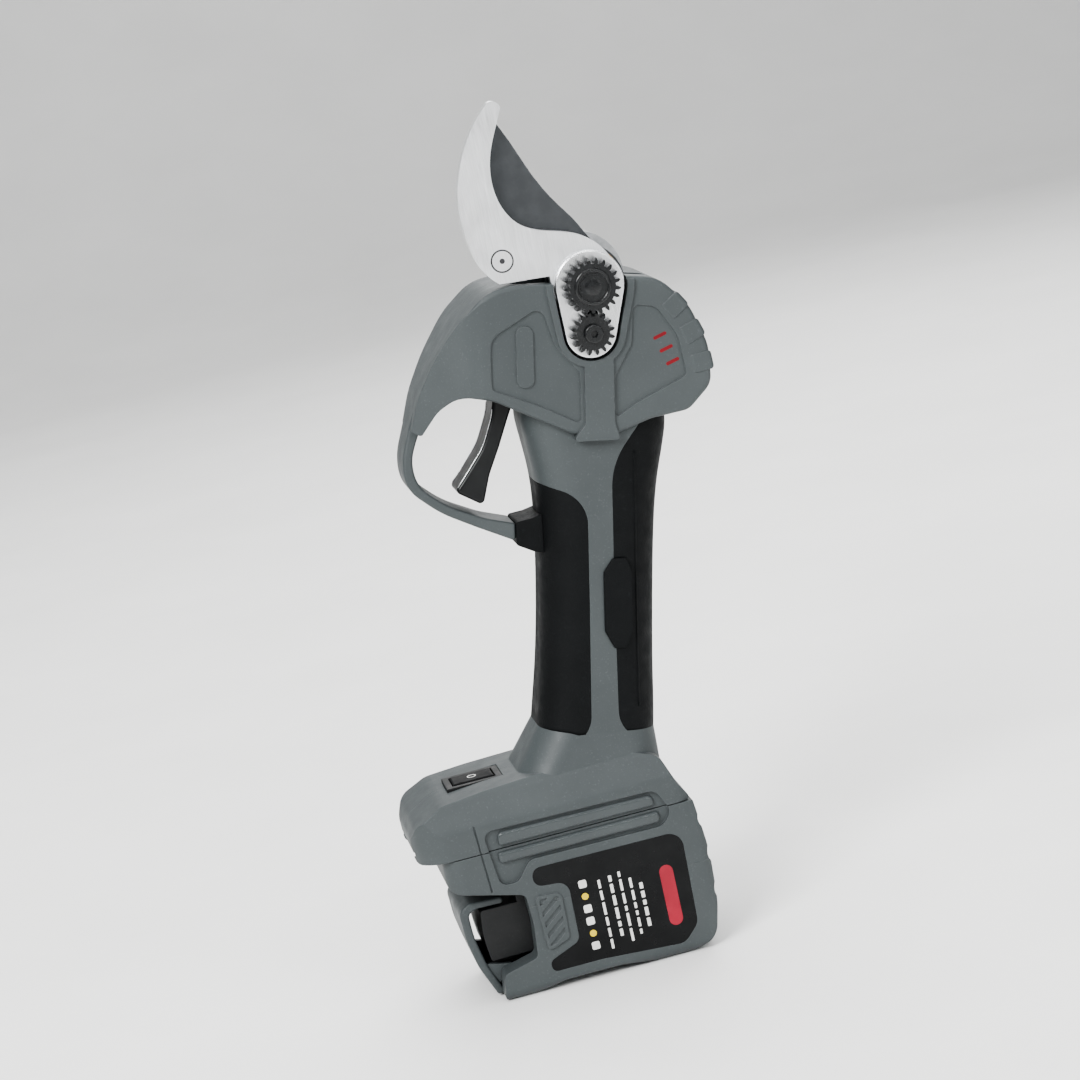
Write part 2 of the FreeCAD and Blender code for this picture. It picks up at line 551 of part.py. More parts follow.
def housing_halves():
    """Left and right half shells, with their screw bosses, and the overmoulded rubber."""
    outer = housing_outer()
    for rib in RIBS:
        outer = outer.fuse(lean(thumb_rib(*rib)))
    for side in (-1, 1):
        outer = outer.fuse(lean(raised_trim(side)))
    for outline in (LEFT_PANEL, RIGHT_PANEL):
        for side in both_sides(lean(side_prism(outline, -30, -HEAD_HALF + 0.7))):
            outer = outer.cut(side)
    for side in both_sides(lean(side_prism(PILL, -HEAD_HALF + 0.1, -HEAD_HALF + 2))):
        outer = outer.fuse(side)

    core = lean(grip_loft(RUBBER))
    skin = lean(grip_loft(0)).cut(core)
    rubber = {}
    for name, outline in (("front_grip", FRONT_RUBBER), ("rear_grip", REAR_RUBBER)):
        region = rubber_region(outline)
        if name == "front_grip":
            region = region.common(lean(block(-60, 60, -40, 40, -156, -60)))
        region = region.cut(foot_solid(0)).cut(collar_loft(0))
        patch = skin.common(region).cut(lean(side_prism(HEAD, -HEAD_HALF, HEAD_HALF)))
        rubber[name] = patch
        outer = outer.cut(patch)
    pads = [lean(side_prism(SIDE_PAD, -GRIP_HALF - 0.5, -GRIP_HALF + 1.4))]
    pads.append(pads[0].mirror(V(0, 0, 0), Y))
    for pad in pads:
        outer = outer.cut(pad)
        rubber["rear_grip"] = rubber["rear_grip"].cut(pad)

    shell = outer.cut(housing_cavity())
    for tool in t_slot(FIT, -40.0, 60.4):
        shell = shell.cut(tool)
    # the L shaped channel on the flanks of foot and battery, with a bar on each
    channel = both_sides(side_prism(RAIL, -40, -FOOT_HALF + 1.2))
    for side in channel:
        shell = shell.cut(side)
    for side in both_sides(UPPER_BAR):
        shell = shell.fuse(side)
    for side in both_sides(side_prism(CREASE, -40, -FOOT_HALF + 0.5)):
        shell = shell.cut(side)

    shell = shell.cut(block(41.9, 57.1, -11.1, 11.1, PART_Z, SLOT_TOP + 3.4))
    # posts for the screws, drilled from the right flank
    for point, place, half in SCREW_SEATS:
        shell = shell.fuse(boss(point, place, half - 1.0).common(outer))
    for point, place, half in SCREW_SEATS:
        shell = shell.cut(place(pin_y(*point, 1.3, -half + 5.0, 40)))
        shell = shell.cut(place(pin_y(*point, 3.0, half - 3.4, 40)))

    # slot for the blades, seats of the clamp plate and of the bolt head, trigger and switch holes
    seat = pear(-LOCK_DROP, PLATE_R + 0.7, PLATE_LOW_R + 0.7, -40, HOOK_BACK)
    heel = side_prism([(-42, 0.9, 0), (0, 0.9, 0), (0, 30, 0), (-42, 30, 0)], -40, HOOK_BACK)
    sweep = union([pin_y(0, 0, 19.0, HOOK_BACK, GEAR_TOP + FIT),
                   pin_y(0, 0, 12.4, GEAR_TOP, -5.2),
                   pin_y(0, 0, 8.4, -5.3, GEAR_HUB_END + 0.6),
                   pin_y(0, 0, 15.7, GEAR_HUB_END + 0.4, 8.1),
                   pin_y(0, 0, 12.8, 8.0, 9.4)])
    bolt_seat = pin_y(0, 0, 10.0, 8.0, 40)
    trigger_slot = block(-37.0, -16.5, -TRIGGER_HALF - 0.8, TRIGGER_HALF + 0.8, -60, -22)
    trigger_slot = trigger_slot.common(side_prism(HEAD, -30, 30))
    for tool in (sweep, seat, heel, bolt_seat, trigger_slot):
        shell = shell.cut(lean(tool))
    shell = shell.cut(block(*SWITCH_X, -7.3, 7.3, 60.0, 76.0))
    # cross rib behind the trigger spring
    shell = shell.fuse(block(45.8, 51.0, -18.5, 18.5, 209.0, 211.0))

    left = shell.common(block(-60, 200, -60, 0, -20, 320))
    right = shell.common(block(-60, 200, 0, 60, -20, 320))
    left = max(left.Solids, key=lambda s: s.Volume)
    right = max(right.Solids, key=lambda s: s.Volume)
    return left, right, rubber, pads


SCREW_SEATS = ([(p, lean, HEAD_HALF if p[1] > -46 else GRIP_HALF - 1.0) for p in SHELL_SCREWS]
               + [(p, lambda s: s.copy(), FOOT_HALF - 2.2) for p in FOOT_SCREWS])
CREASE = [(-2.0, 61.0, 0), (-1.4, 61.0, 0), (-0.2, 38.0, 0), (-0.8, 38.0, 0)]
UPPER_BAR = side_prism([(5.0, PART_Z + 1.0, 1), (57.5, PART_Z + 1.0, 1), (57.5, 56.4, 2),
                        (5.0, 57.2, 2)], -FOOT_HALF - 0.4, -FOOT_HALF + 1.6)
UPPER_BAR = soften(UPPER_BAR, -FOOT_HALF - 0.4, -FOOT_HALF - 0.4, 1.1)
LOWER_BAR = side_prism([(4.0, 46.6, 1.6), (58.4, 46.6, 1.6), (58.4, PART_Z - 1.0, 1),
                        (4.0, PART_Z - 1.0, 1)], -FOOT_HALF - 0.4, -FOOT_HALF + 1.6)
LOWER_BAR = soften(LOWER_BAR, -FOOT_HALF - 0.4, -FOOT_HALF - 0.4, 1.1)


def build_housing():
    left, right, rubber, pads = housing_halves()
    save("handle_shell_left", left)
    save("handle_shell_right", right)
    for name, patch in rubber.items():
        save(name + "_left", *patch.common(block(-60, 200, -60, 0, -20, 320)).Solids)
        save(name + "_right", *patch.common(block(-60, 200, 0, 60, -20, 320)).Solids)
    save("grip_side_pads", *pads)
    socket = side_prism([(-24.0, -76.6, 1), (-19.0, -75.6, 1), (-14.6, -74.0, 0),
                         (-14.6, -87.0, 0), (-18.4, -86.4, 1), (-24.0, -84.0, 1)], -8.6, 8.6)
    save("guard_socket", lean(socket).cut(lean(grip_loft(0))))
    screws = []
    for point, place, half in SCREW_SEATS:
        head = pin_y(*point, 2.7, half - 3.3, half - 1.0)
        head = head.cut(side_prism([(point[0] - 1.5, point[1] - 0.35, 0),
                                    (point[0] + 1.5, point[1] - 0.35, 0),
                                    (point[0] + 1.5, point[1] + 0.35, 0),
                                    (point[0] - 1.5, point[1] + 0.35, 0)], half - 1.8, half))
        shank = pin_y(*point, 1.28, -half + 6.0, half - 3.3)
        screws.append(place(head.fuse(shank)))
    save("shell_screws", *screws)


# ---------------------------------------------------------------- blade group
def build_blades():
    save("counter_blade", lean(counter_blade()))
    save("cutting_blade", lean(cutting_blade()))
    save("blade_gear", lean(blade_gear()))
    save("blade_dowels", *[lean(pin_y(u, w, 1.5, BLADE_TOP + 0.2, GEAR_TOP + 2.6))
                           for u, w in BLADE_PINS])
    bush = pin_y(0, 0, BUSH_R, BLADE_TOP, GEAR_HUB_END).cut(pin_y(0, 0, BOLT_R + 0.05, -40, 40))
    save("pivot_bush", lean(bush))

    plate = pear(-LOCK_DROP, PLATE_R, PLATE_LOW_R, PLATE_TOP, HOOK_TOP)
    plate = soften(plate, PLATE_TOP, PLATE_TOP, 0.6)
    plate = plate.cut(pin_y(0, 0, BOLT_R + 0.05, -40, 40))
    save("clamp_plate", lean(plate.cut(pin_y(0, -LOCK_DROP, 1.6, -40, 40))))

    save("tension_nut", lean(star_wheel(STAR_TEETH, NUT_TOP, PLATE_TOP, 0, 0,
                                        math.radians(90), BOLT_R + 0.02)))
    phase = math.radians(-90) + math.pi / LOCK_TEETH
    save("lock_pinion", lean(star_wheel(LOCK_TEETH, NUT_TOP + 1.2, PLATE_TOP, 0, -LOCK_DROP,
                                        phase, 1.6)))
    head = pin_y(0, -LOCK_DROP, 3.0, NUT_TOP - 0.6, NUT_TOP + 1.2)
    head = soften(head, NUT_TOP - 0.6, NUT_TOP - 0.6, 0.5)
    hexagon = [(1.3 * math.cos(math.radians(60 * k)), 1.3 * math.sin(math.radians(60 * k))
                - LOCK_DROP, 0) for k in range(6)]
    head = head.cut(side_prism(hexagon, NUT_TOP - 1, NUT_TOP + 0.6))
    save("lock_screw", lean(head.fuse(pin_y(0, -LOCK_DROP, 1.5, NUT_TOP + 1.2, HOOK_BACK + 1.0))))

    bolt = pin_y(0, 0, BOLT_R, NUT_TOP - 0.4, 9.2)
    dome = Part.makeSphere(6.2, V(0, NUT_TOP + 4.2, 0))
    bolt = bolt.common(dome.fuse(block(-9, 9, NUT_TOP + 2, 30, -9, 9)))
    hex_head = [(8.0 * math.cos(math.radians(60 * k + 30)),
                 8.0 * math.sin(math.radians(60 * k + 30)), 0.8) for k in range(6)]
    bolt = union([bolt, pin_y(0, 0, 9.2, 9.2, 10.8), side_prism(hex_head, 10.8, 16.4)])
    save("pivot_bolt", lean(bolt))

    washers = [pin_y(0, 0, 11.8, HOOK_BACK, BLADE_TOP - 0.06),
               pin_y(0, 0, 7.6, GEAR_HUB_END + 0.06, GEAR_HUB_END + 0.6)]
    save("thrust_washers", *[lean(w.cut(pin_y(0, 0, BOLT_R + 0.05, -40, 40))) for w in washers])


def gear_housing():
    """Die-cast frame: a floor that carries the bolt, a wall behind the sector, and a bearing neck."""
    floor_y = GEAR_HUB_END + 0.6
    floor = pear(-17.5, 15.5, 15.0, floor_y, 7.9)
    floor = floor.fuse(pin_y(0, 0, 12.6, floor_y, 9.2))
    wall = pear(-17.5, 19.8, 15.5, -12.8, 7.9).cut(pear(-17.5, 18.3, 14.0, -13, floor_y))
    wall = wall.common(block(-40, 40, -20, 20, -60, -1.0))
    wall = wall.cut(pin_y(0, 0, 17.6, -13.0, -2.0))
    neck = pin_z(0, 0, 11.6, -32.6, BEARING_TOP + 0.4)
    neck.rotate(V(0, 0, 0), Y, -DRIVE_TILT)
    body = union([floor, wall, neck])
    bore = union([pin_z(0, 0, 8.03, -40, BEARING_TOP - 1.0), pin_z(0, 0, 5.6, -40, -5)])
    bore.rotate(V(0, 0, 0), Y, -DRIVE_TILT)
    body = body.cut(bore).cut(pin_y(0, 0, BOLT_R + 0.05, -40, 40))
    return max(body.Solids, key=lambda s: s.Volume)


# ---------------------------------------------------------------- drive train
def build_drive():
    save("gear_housing", lean(gear_housing()))

    pitch_r = BEVEL_MODULE * PINION_TEETH / 2
    drop = BEVEL_MODULE * BEVEL_TEETH / 2
    step = 360 / PINION_TEETH
    teeth = [bevel_tooth(pitch_r, drop, PINION_TEETH, BEVEL_MODULE, BEVEL_FACE, (i + 0.5) * step)
             for i in range(PINION_TEETH)]
    small = drop * 0.7
    body = bevel_body(pitch_r, drop, BEVEL_MODULE, BEVEL_FACE, drop + 1.8, 1.6, small, 0, 360)
    pinion = union(teeth + [body])
    pinion.rotate(V(0, 0, 0), X, 180)
    # a pinion tooth gap has to face the sector's tooth, on the -Y side
    pinion.rotate(V(0, 0, 0), Z, 90)
    shaft = union([pinion, pin_z(0, 0, 3.6, GEARBOX_TOP - 0.4, -drop - 1.0)])
    save("bevel_pinion", drive(shaft))

    bearings = []
    for top in (BEARING_TOP - 1.1, BEARING_TOP - 7.6):
        ring = tube_z(8.0, 3.62, top - 5.0, top)
        groove = Part.makeTorus(5.8, 1.1, V(0, 0, top - 5.0), Z).fuse(
            Part.makeTorus(5.8, 1.1, V(0, 0, top), Z))
        bearings.append(drive(ring.cut(groove)))
    save("pinion_bearings", *bearings)

    carrier_top, carrier_end = GEARBOX_TOP - 0.4, GEARBOX_TOP - 3.4
    carrier = pin_z(0, 0, 9.0, carrier_end, carrier_top)
    for k in range(3):
        u, y = orbit(k)
        carrier = carrier.fuse(pin_z(u, y, 1.2, GEARBOX_END + 3.0, carrier_end))
    save("planet_carrier", drive(carrier))

    ring_points = spur_outline(RING_TEETH, PLANET_MODULE, RING_PHASE, internal=True)
    case = pin_z(0, 0, GEARBOX_R, GEARBOX_END, GEARBOX_TOP)
    case = case.cut(pin_z(0, 0, 9.6, GEARBOX_TOP - 3.8, GEARBOX_TOP + 1))
    case = case.cut(spur_prism(ring_points, GEARBOX_END + 2.0, GEARBOX_TOP - 3.0))
    case = case.cut(pin_z(0, 0, 4.2, GEARBOX_END - 1, GEARBOX_END + 3))
    save("ring_gear_case", drive(case))

    for k in range(3):
        u, y = orbit(k)
        around = math.atan2(y, u)
        phase = around + math.pi + (around * SUN_TEETH / PLANET_TEETH) + math.pi / PLANET_TEETH
        planet = spur_prism(spur_outline(PLANET_TEETH, PLANET_MODULE, phase),
                            GEARBOX_END + 3.2, carrier_end - 0.4)
        planet.translate(V(u, y, 0))
        planet = planet.cut(pin_z(u, y, 1.24, -60, -20))
        save("planet_gear_%d" % (k + 1), drive(planet))

    sun = spur_prism(spur_outline(SUN_TEETH, PLANET_MODULE, 0.0), GEARBOX_END + 2.6,
                     carrier_end - 0.5)
    sun = sun.cut(pin_z(0, 0, 1.25, -60, -20))
    save("sun_gear", drive(sun))
    shaft_r = 1.25
    rotor = union([pin_z(0, 0, shaft_r, MOTOR_END - 1.5, carrier_end - 0.8),
                   pin_z(0, 0, 6.4, MOTOR_END + 5.0, GEARBOX_END - 6.0)])
    save("motor_rotor", drive(rotor))
    can = tube_z(MOTOR_R, 7.2, MOTOR_END, GEARBOX_END - 1.4)
    caps = tube_z(MOTOR_R, shaft_r + 0.6, GEARBOX_END - 3.4, GEARBOX_END - 0.4)
    tail = tube_z(MOTOR_R, shaft_r + 0.6, MOTOR_END, MOTOR_END + 2.5)
    motor = can.fuse(caps).fuse(tail)
    for k in range(3):
        vent = block(-12, 12, -1.6, 1.6, MOTOR_END + 6, MOTOR_END + 14)
        vent.rotate(V(0, 0, 0), Z, 60 * k)
        motor = motor.cut(vent)
    save("motor_can", drive(motor))

    leads = []
    for u, y in ((7.0, -4.5), (9.5, 0.0), (7.0, 4.5)):
        run = [(u, MOTOR_END - 0.1), (u + 1.0, MOTOR_END - 20), (u - 0.5, MOTOR_END - 50),
               (u - 0.5, MOTOR_END - 72)]
        leads.append(lead(run, 0.95, y))
    save("motor_leads", *[drive(s) for s in leads])


def lead(run, radius, y):
    """A wire: straight runs joined by tangent arcs, in a plane of constant y."""
    points = [V(u, y, w) for u, w in run]
    edges, last = [], points[0]
    for i in range(1, len(points) - 1):
        back, ahead = points[i - 1] - points[i], points[i + 1] - points[i]
        half = back.getAngle(ahead) / 2
        cut = 0.45 * min(back.Length, ahead.Length)
        back.normalize()
        ahead.normalize()
        middle = back + ahead
        middle.normalize()
        centre = points[i] + middle * (cut / math.cos(half))
        start, end = points[i] + back * cut, points[i] + ahead * cut
        edges.append(Part.LineSegment(last, start).toShape())
        edges.append(Part.Arc(start, centre - middle * (cut * math.tan(half)), end).toShape())
        last = end
    edges.append(Part.LineSegment(last, points[-1]).toShape())
    path = Part.Wire(edges)
    ring = Part.Wire(Part.makeCircle(radius, points[0], points[1] - points[0]))
    return path.makePipeShell([ring], True, False)


def orbit(k):
    angle = math.radians(90 + 120 * k)
    return PLANET_ORBIT * math.cos(angle), PLANET_ORBIT * math.sin(angle)


# ---------------------------------------------------------------- trigger
def build_trigger():
    outline = [(-29.4, -26.0, 3), (-22.8, -26.0, 3), (-23.2, -37.0, 6), (-25.4, -43.0, 20),
               (-28.4, -52.0, 30), (-31.8, -61.0, 20), (-34.0, -70.8, 1.5), (-43.2, -66.0, 1.5),
               (-38.4, -59.0, 20), (-33.8, -52.0, 20), (-30.6, -42.0, 20)]
    trigger = soften(side_prism(outline, -TRIGGER_HALF, TRIGGER_HALF),
                     -TRIGGER_HALF, TRIGGER_HALF, 1.2)
    arm = side_prism([(-27.0, -25.0, 1), (-16.6, -25.6, 1), (-16.6, -29.8, 1), (-25.0, -33.0, 1)],
                     -2.5, 2.5)
    magnet = block(-19.8, -17.2, -2.0, 2.0, -29.0, -27.2)
    trigger = trigger.fuse(arm).cut(pin_y(*TRIGGER_PIN, 2.06, -30, 30)).cut(magnet)
    save("trigger", lean(trigger))
    save("trigger_pin", lean(pin_y(*TRIGGER_PIN, 2.0, -13.0, 13.0)))
    save("trigger_magnet", lean(magnet))
    save("trigger_spring", coil((48.7, 202.2), 2.1, 0.35, 6.4, 5))
    board = side_prism([(-20.6, -36.2, 0), (-14.2, -36.2, 0), (-14.2, -34.8, 0),
                        (-20.6, -34.8, 0)], -6.0, 6.0)
    chip = block(-18.4, -15.6, -1.8, 1.8, -34.8, -33.6)
    save("hall_sensor_board", lean(board.fuse(chip)))


def coil(base, radius, wire_r, height, turns):
    """A compression spring that stands on base, which is (x, z), in the mid plane."""
    helix = Part.makeHelix(height / turns, height, radius)
    start = helix.Vertexes[0].Point
    ring = Part.Wire(Part.makeCircle(wire_r, start, Y))
    spring = Part.Wire(helix.Edges).makePipeShell([ring], True, True)
    spring.translate(V(base[0], 0, base[1]))
    return spring


# ---------------------------------------------------------------- foot fittings
def build_foot():
    x0, x1 = SWITCH_X
    bezel = block(x0 + 0.1, x1 - 0.1, -7.2, 7.2, 65.6, 70.8).cut(
        block(x0 + 2.2, x1 - 2.2, -5.2, 5.2, 50, 80))
    save("switch_bezel", bezel)
    button = soften_top(block(x0 + 2.5, x1 - 2.5, -4.9, 4.9, 67.2, 71.2), 71.2, 0.8)
    stem = pin_z((x0 + x1) / 2, 0, 2.0, 61.3, 67.2)
    save("power_button", button.fuse(stem))
    tact = block((x0 + x1) / 2 - 3.0, (x0 + x1) / 2 + 3.0, -3.0, 3.0, 58.8, 60.6)
    board = block(15.0, 58.0, -14.0, 14.0, 59.2, 60.8)
    save("switch_board", block(x0, x1, -7.0, 7.0, 57.4, 58.8).fuse(tact))
    parts = [block(18.0 + 7.5 * i, 23.0 + 7.5 * i, y, y + 6.5, 60.8, 62.6)
             for i in range(3) for y in (-9.5, 3.0)]
    capacitor = pin_z(43.5, -6.0, 4.0, 60.8, 68.0)
    save("control_board", union([board, capacitor] + parts))
    terminals = [block(44.0, 55.0, y - 0.5, y + 0.5, PART_Z + 0.4, PART_Z + 7.6)
                 for y in TERMINAL_Y]
    holder = block(42.0, 57.0, -11.0, 11.0, SLOT_TOP, SLOT_TOP + 3.4)
    for blade in terminals:
        holder = holder.cut(blade)
    save("terminal_block", holder)
    save("terminal_blades", *terminals)


def soften_top(solid, z, radius):
    rims = [e for e in solid.Edges if all(abs(v.Z - z) < 1e-6 for v in e.Vertexes)]
    return solid.makeFillet(radius, rims)


# ---------------------------------------------------------------- battery pack
def textured_pad():
    """The finger pad behind the latch, crossed by slanting grooves."""
    pad = side_prism(TEXTURE_PAD, -FOOT_HALF - 0.6, -FOOT_HALF + 1.0)
    inner = side_wire(TEXTURE_PAD, -FOOT_HALF - 0.6).makeOffset2D(-1.1)
    field = Part.Face(inner).extrude(V(0, 0.4, 0))
    for k in range(6):
        groove = block(-8.0, 8.0, -FOOT_HALF - 1.0, -FOOT_HALF + 1.0, -0.65, 0.65)
        groove.rotate(V(0, 0, 0), Y, -38)
        groove.translate(V(17.0, 0, 13.4 + 3.9 * k))
        pad = pad.cut(groove.common(field))
    return pad


def build_battery():
    pack = carve(PACK, FOOT_HALF, 6.0, 4.0, 0.0, PART_Z + 6.0)
    pack = pack.common(block(-60, 120, -40, 40, -1, PART_Z - FIT))
    cavity = block(12.4, PACK_REAR - WALL, -FOOT_HALF + WALL, FOOT_HALF - WALL, 5.0, 46.4)
    cavity = cavity.common(carve(PACK, FOOT_HALF, 5.0, 3.0, 0.0, PART_Z + 6.0, inset=WALL))
    shell = pack.cut(cavity)
    # the latch stands in front, between the front block and the lip, clear of both flanks
    shell = shell.cut(block(-30.0, 10.6, -LATCH_HALF - 0.4, LATCH_HALF + 0.4, 5.0, 34.6))
    shell = shell.cut(block(-30.0, -1.0, -LATCH_HALF - 0.4, LATCH_HALF + 0.4, -2.0, 6.0))
    shell = shell.cut(pin_y(*LATCH_PIN, 1.2, -17.6, 17.6))
    for side in both_sides(side_prism(RAIL, -40, -FOOT_HALF + 1.2)):
        shell = shell.cut(side)
    for side in both_sides(LOWER_BAR):
        shell = shell.fuse(side)
    for side in both_sides(side_prism(CREASE, -40, -FOOT_HALF + 0.5)):
        shell = shell.cut(side)
    for side in both_sides(side_prism(LABEL, -40, -FOOT_HALF + 0.5)):
        shell = shell.cut(side)
    for side in both_sides(textured_pad()):
        shell = shell.fuse(side)
    for x, z in SCALLOPS:
        shell = shell.cut(pin_y(x, z, 5.0, -40, 40))
    shell = union([shell, block(4.0, 58.0, -12, 12, PART_Z - 1.0, SLOT_TOP - 0.6),
                   block(4.0, 58.0, -15, 15, SLOT_TOP - 1.7, SLOT_TOP - 0.3)])
    for y in TERMINAL_Y:
        shell = shell.cut(block(43.4, 60.0, y - 0.9, y + 0.9, PART_Z - 0.1, SLOT_TOP + 1.0))
    tub = shell.common(block(-60, 120, -40, 40, -1, PACK_SEAM))
    lid = shell.common(block(-60, 120, -40, 40, PACK_SEAM, 60))
    save("battery_tub", *tub.Solids)
    save("battery_lid", *lid.Solids)

    cells = []
    for y in (-CELL_PITCH / 2, CELL_PITCH / 2):
        for z in (CELL_LOW_Z, CELL_LOW_Z + CELL_PITCH):
            can = Part.makeCylinder(CELL_R, CELL_LENGTH, V(CELL_FRONT, y, z), X)
            tip = Part.makeCylinder(3.2, 0.9, V(CELL_END, y, z), X)
            cells.append(can.fuse(tip))
    save("battery_cells", *cells)
    tabs = [block(CELL_END + 0.9, CELL_END + 1.1, y - 4, y + 4, 12.0, 38.0)
            for y in (-CELL_PITCH / 2, CELL_PITCH / 2)]
    tabs += [block(CELL_FRONT - 0.25, CELL_FRONT, -13.0, 13.0, z - 4, z + 4)
             for z in (CELL_LOW_Z, CELL_LOW_Z + CELL_PITCH)]
    save("cell_tabs", *tabs)
    labels = both_sides(side_prism(LABEL, -FOOT_HALF - 0.02, -FOOT_HALF + 0.5))
    save("battery_labels", *labels)

    x, z = LATCH_PIN
    latch = soften(side_prism(LATCH, -LATCH_HALF, LATCH_HALF), -LATCH_HALF, LATCH_HALF, 0.8)
    lugs = [side_prism([(-8.0, 12.0, 0), (-4.4, 4.6, 0), (x + 1.6, z - 1.9, 1.6),
                        (x + 1.9, z + 1.9, 1.6)], y0, y0 + 2.0) for y0 in (-14.0, 12.0)]
    latch = union([latch] + lugs).cut(pin_y(x, z, 1.26, -40, 40))
    save("battery_latch", latch)
    save("latch_pin", pin_y(x, z, 1.2, -17.6, 17.6))
    well = side_prism([(-5.0, 30.2, 1), (-5.9, 22.0, 30), (-4.9, 12.6, 1), (10.5, 12.6, 0),
                       (10.5, 34.2, 0), (7.4, 34.2, 0), (7.4, 30.2, 0)], -LATCH_HALF, LATCH_HALF)
    well = union([well, block(-4.4, 10.5, -11.0, 11.0, 10.2, 12.7),
                  block(3.4, 10.5, -11.0, 11.0, 5.1, 12.7)])
    save("latch_well", well)
    spring = Part.makeHelix(1.3, 7.8, 1.8)
    ring = Part.Wire(Part.makeCircle(0.3, spring.Vertexes[0].Point, Y))
    spring = Part.Wire(spring.Edges).makePipeShell([ring], True, True)
    spring.rotate(V(0, 0, 0), X, -90)
    spring.translate(V(x, -3.9, z))
    save("latch_spring", spring)
    save("battery_board", block(18.0, 58.0, -14.0, 14.0, 44.1, 45.5))
    frames = []
    for x0 in (18.0, 56.0):
        frame = block(x0, x0 + 4.0, -20.2, 20.2, 5.4, 43.9)
        for y in (-CELL_PITCH / 2, CELL_PITCH / 2):
            for z in (CELL_LOW_Z, CELL_LOW_Z + CELL_PITCH):
                frame = frame.cut(Part.makeCylinder(CELL_R + 0.03, 60.0, V(10, y, z), X))
        frames += frame.Solids
    save("cell_frames", *frames)


build_housing()
build_blades()
build_drive()
build_trigger()
build_foot()
build_battery()
print("nodes", len(BUILT))
print("pivot in the row frame", lean(Part.Vertex(V(0, 0, 0))).Point)
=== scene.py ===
import json
import math
import random

import bmesh
import bpy
from mathutils import Matrix, Vector
from mathutils.bvhtree import BVHTree


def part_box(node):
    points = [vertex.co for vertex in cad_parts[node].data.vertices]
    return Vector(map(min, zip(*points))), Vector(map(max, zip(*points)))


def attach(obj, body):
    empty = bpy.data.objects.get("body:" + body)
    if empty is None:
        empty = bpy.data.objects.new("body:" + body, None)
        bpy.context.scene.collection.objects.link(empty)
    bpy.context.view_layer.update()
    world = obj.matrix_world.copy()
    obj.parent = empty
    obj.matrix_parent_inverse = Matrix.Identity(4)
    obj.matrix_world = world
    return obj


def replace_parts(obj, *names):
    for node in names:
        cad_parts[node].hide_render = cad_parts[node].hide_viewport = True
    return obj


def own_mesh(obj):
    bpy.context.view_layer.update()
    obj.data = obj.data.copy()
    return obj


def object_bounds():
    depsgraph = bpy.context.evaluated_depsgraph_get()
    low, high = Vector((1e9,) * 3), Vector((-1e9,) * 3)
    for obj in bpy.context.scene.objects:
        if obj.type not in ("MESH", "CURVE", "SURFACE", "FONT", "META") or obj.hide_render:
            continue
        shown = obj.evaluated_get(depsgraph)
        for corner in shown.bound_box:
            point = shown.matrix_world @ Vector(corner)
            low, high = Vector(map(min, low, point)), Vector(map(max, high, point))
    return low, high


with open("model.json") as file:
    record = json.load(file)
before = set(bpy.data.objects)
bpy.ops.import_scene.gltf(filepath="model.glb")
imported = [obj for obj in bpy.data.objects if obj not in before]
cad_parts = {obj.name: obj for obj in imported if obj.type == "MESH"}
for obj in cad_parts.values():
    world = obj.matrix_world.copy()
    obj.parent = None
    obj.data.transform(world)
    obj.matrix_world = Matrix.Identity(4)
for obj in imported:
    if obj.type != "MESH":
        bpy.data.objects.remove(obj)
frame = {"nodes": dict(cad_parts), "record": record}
CAD_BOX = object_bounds()

LEAN = math.radians(10.8)                               # the handle leans back
JOINTS = {j["name"]: j for j in frame["record"]["behaviour"]["joints"]}
PIVOT = Vector(JOINTS["blade_pivot"]["pos_m"])
UP = Vector((math.sin(LEAN), 0, math.cos(LEAN)))        # along the handle
BACK = Vector((math.cos(LEAN), 0, -math.sin(LEAN)))     # across the handle, towards the palm
OUT = Vector((0, -1, 0))                                # out of the left flank
SIDES = ((-1, "left"), (1, "right"))                    # sign of y on each flank

LABEL_FACE = 23.02              # mm from the mid plane to the face of the battery's labels,
PANEL_FACE = 19.3               # of the panels on the head
HOOK_FACE = 17.2                # and of the hook
FILM = 0.04                     # thickness of a printed or etched mark, mm
RIDGE_OUT = 0.02315             # the glossy ridges of foot and battery stand further out, m
RIDGE_HEIGHTS = (0.045, 0.060)  # and lie between these heights, m


def tool(u, w, y=0.0):
    """A point given in mm in the handle's own directions, from the blade pivot."""
    return PIVOT + BACK * (u / 1000) + UP * (w / 1000) + Vector((0, y / 1000, 0))


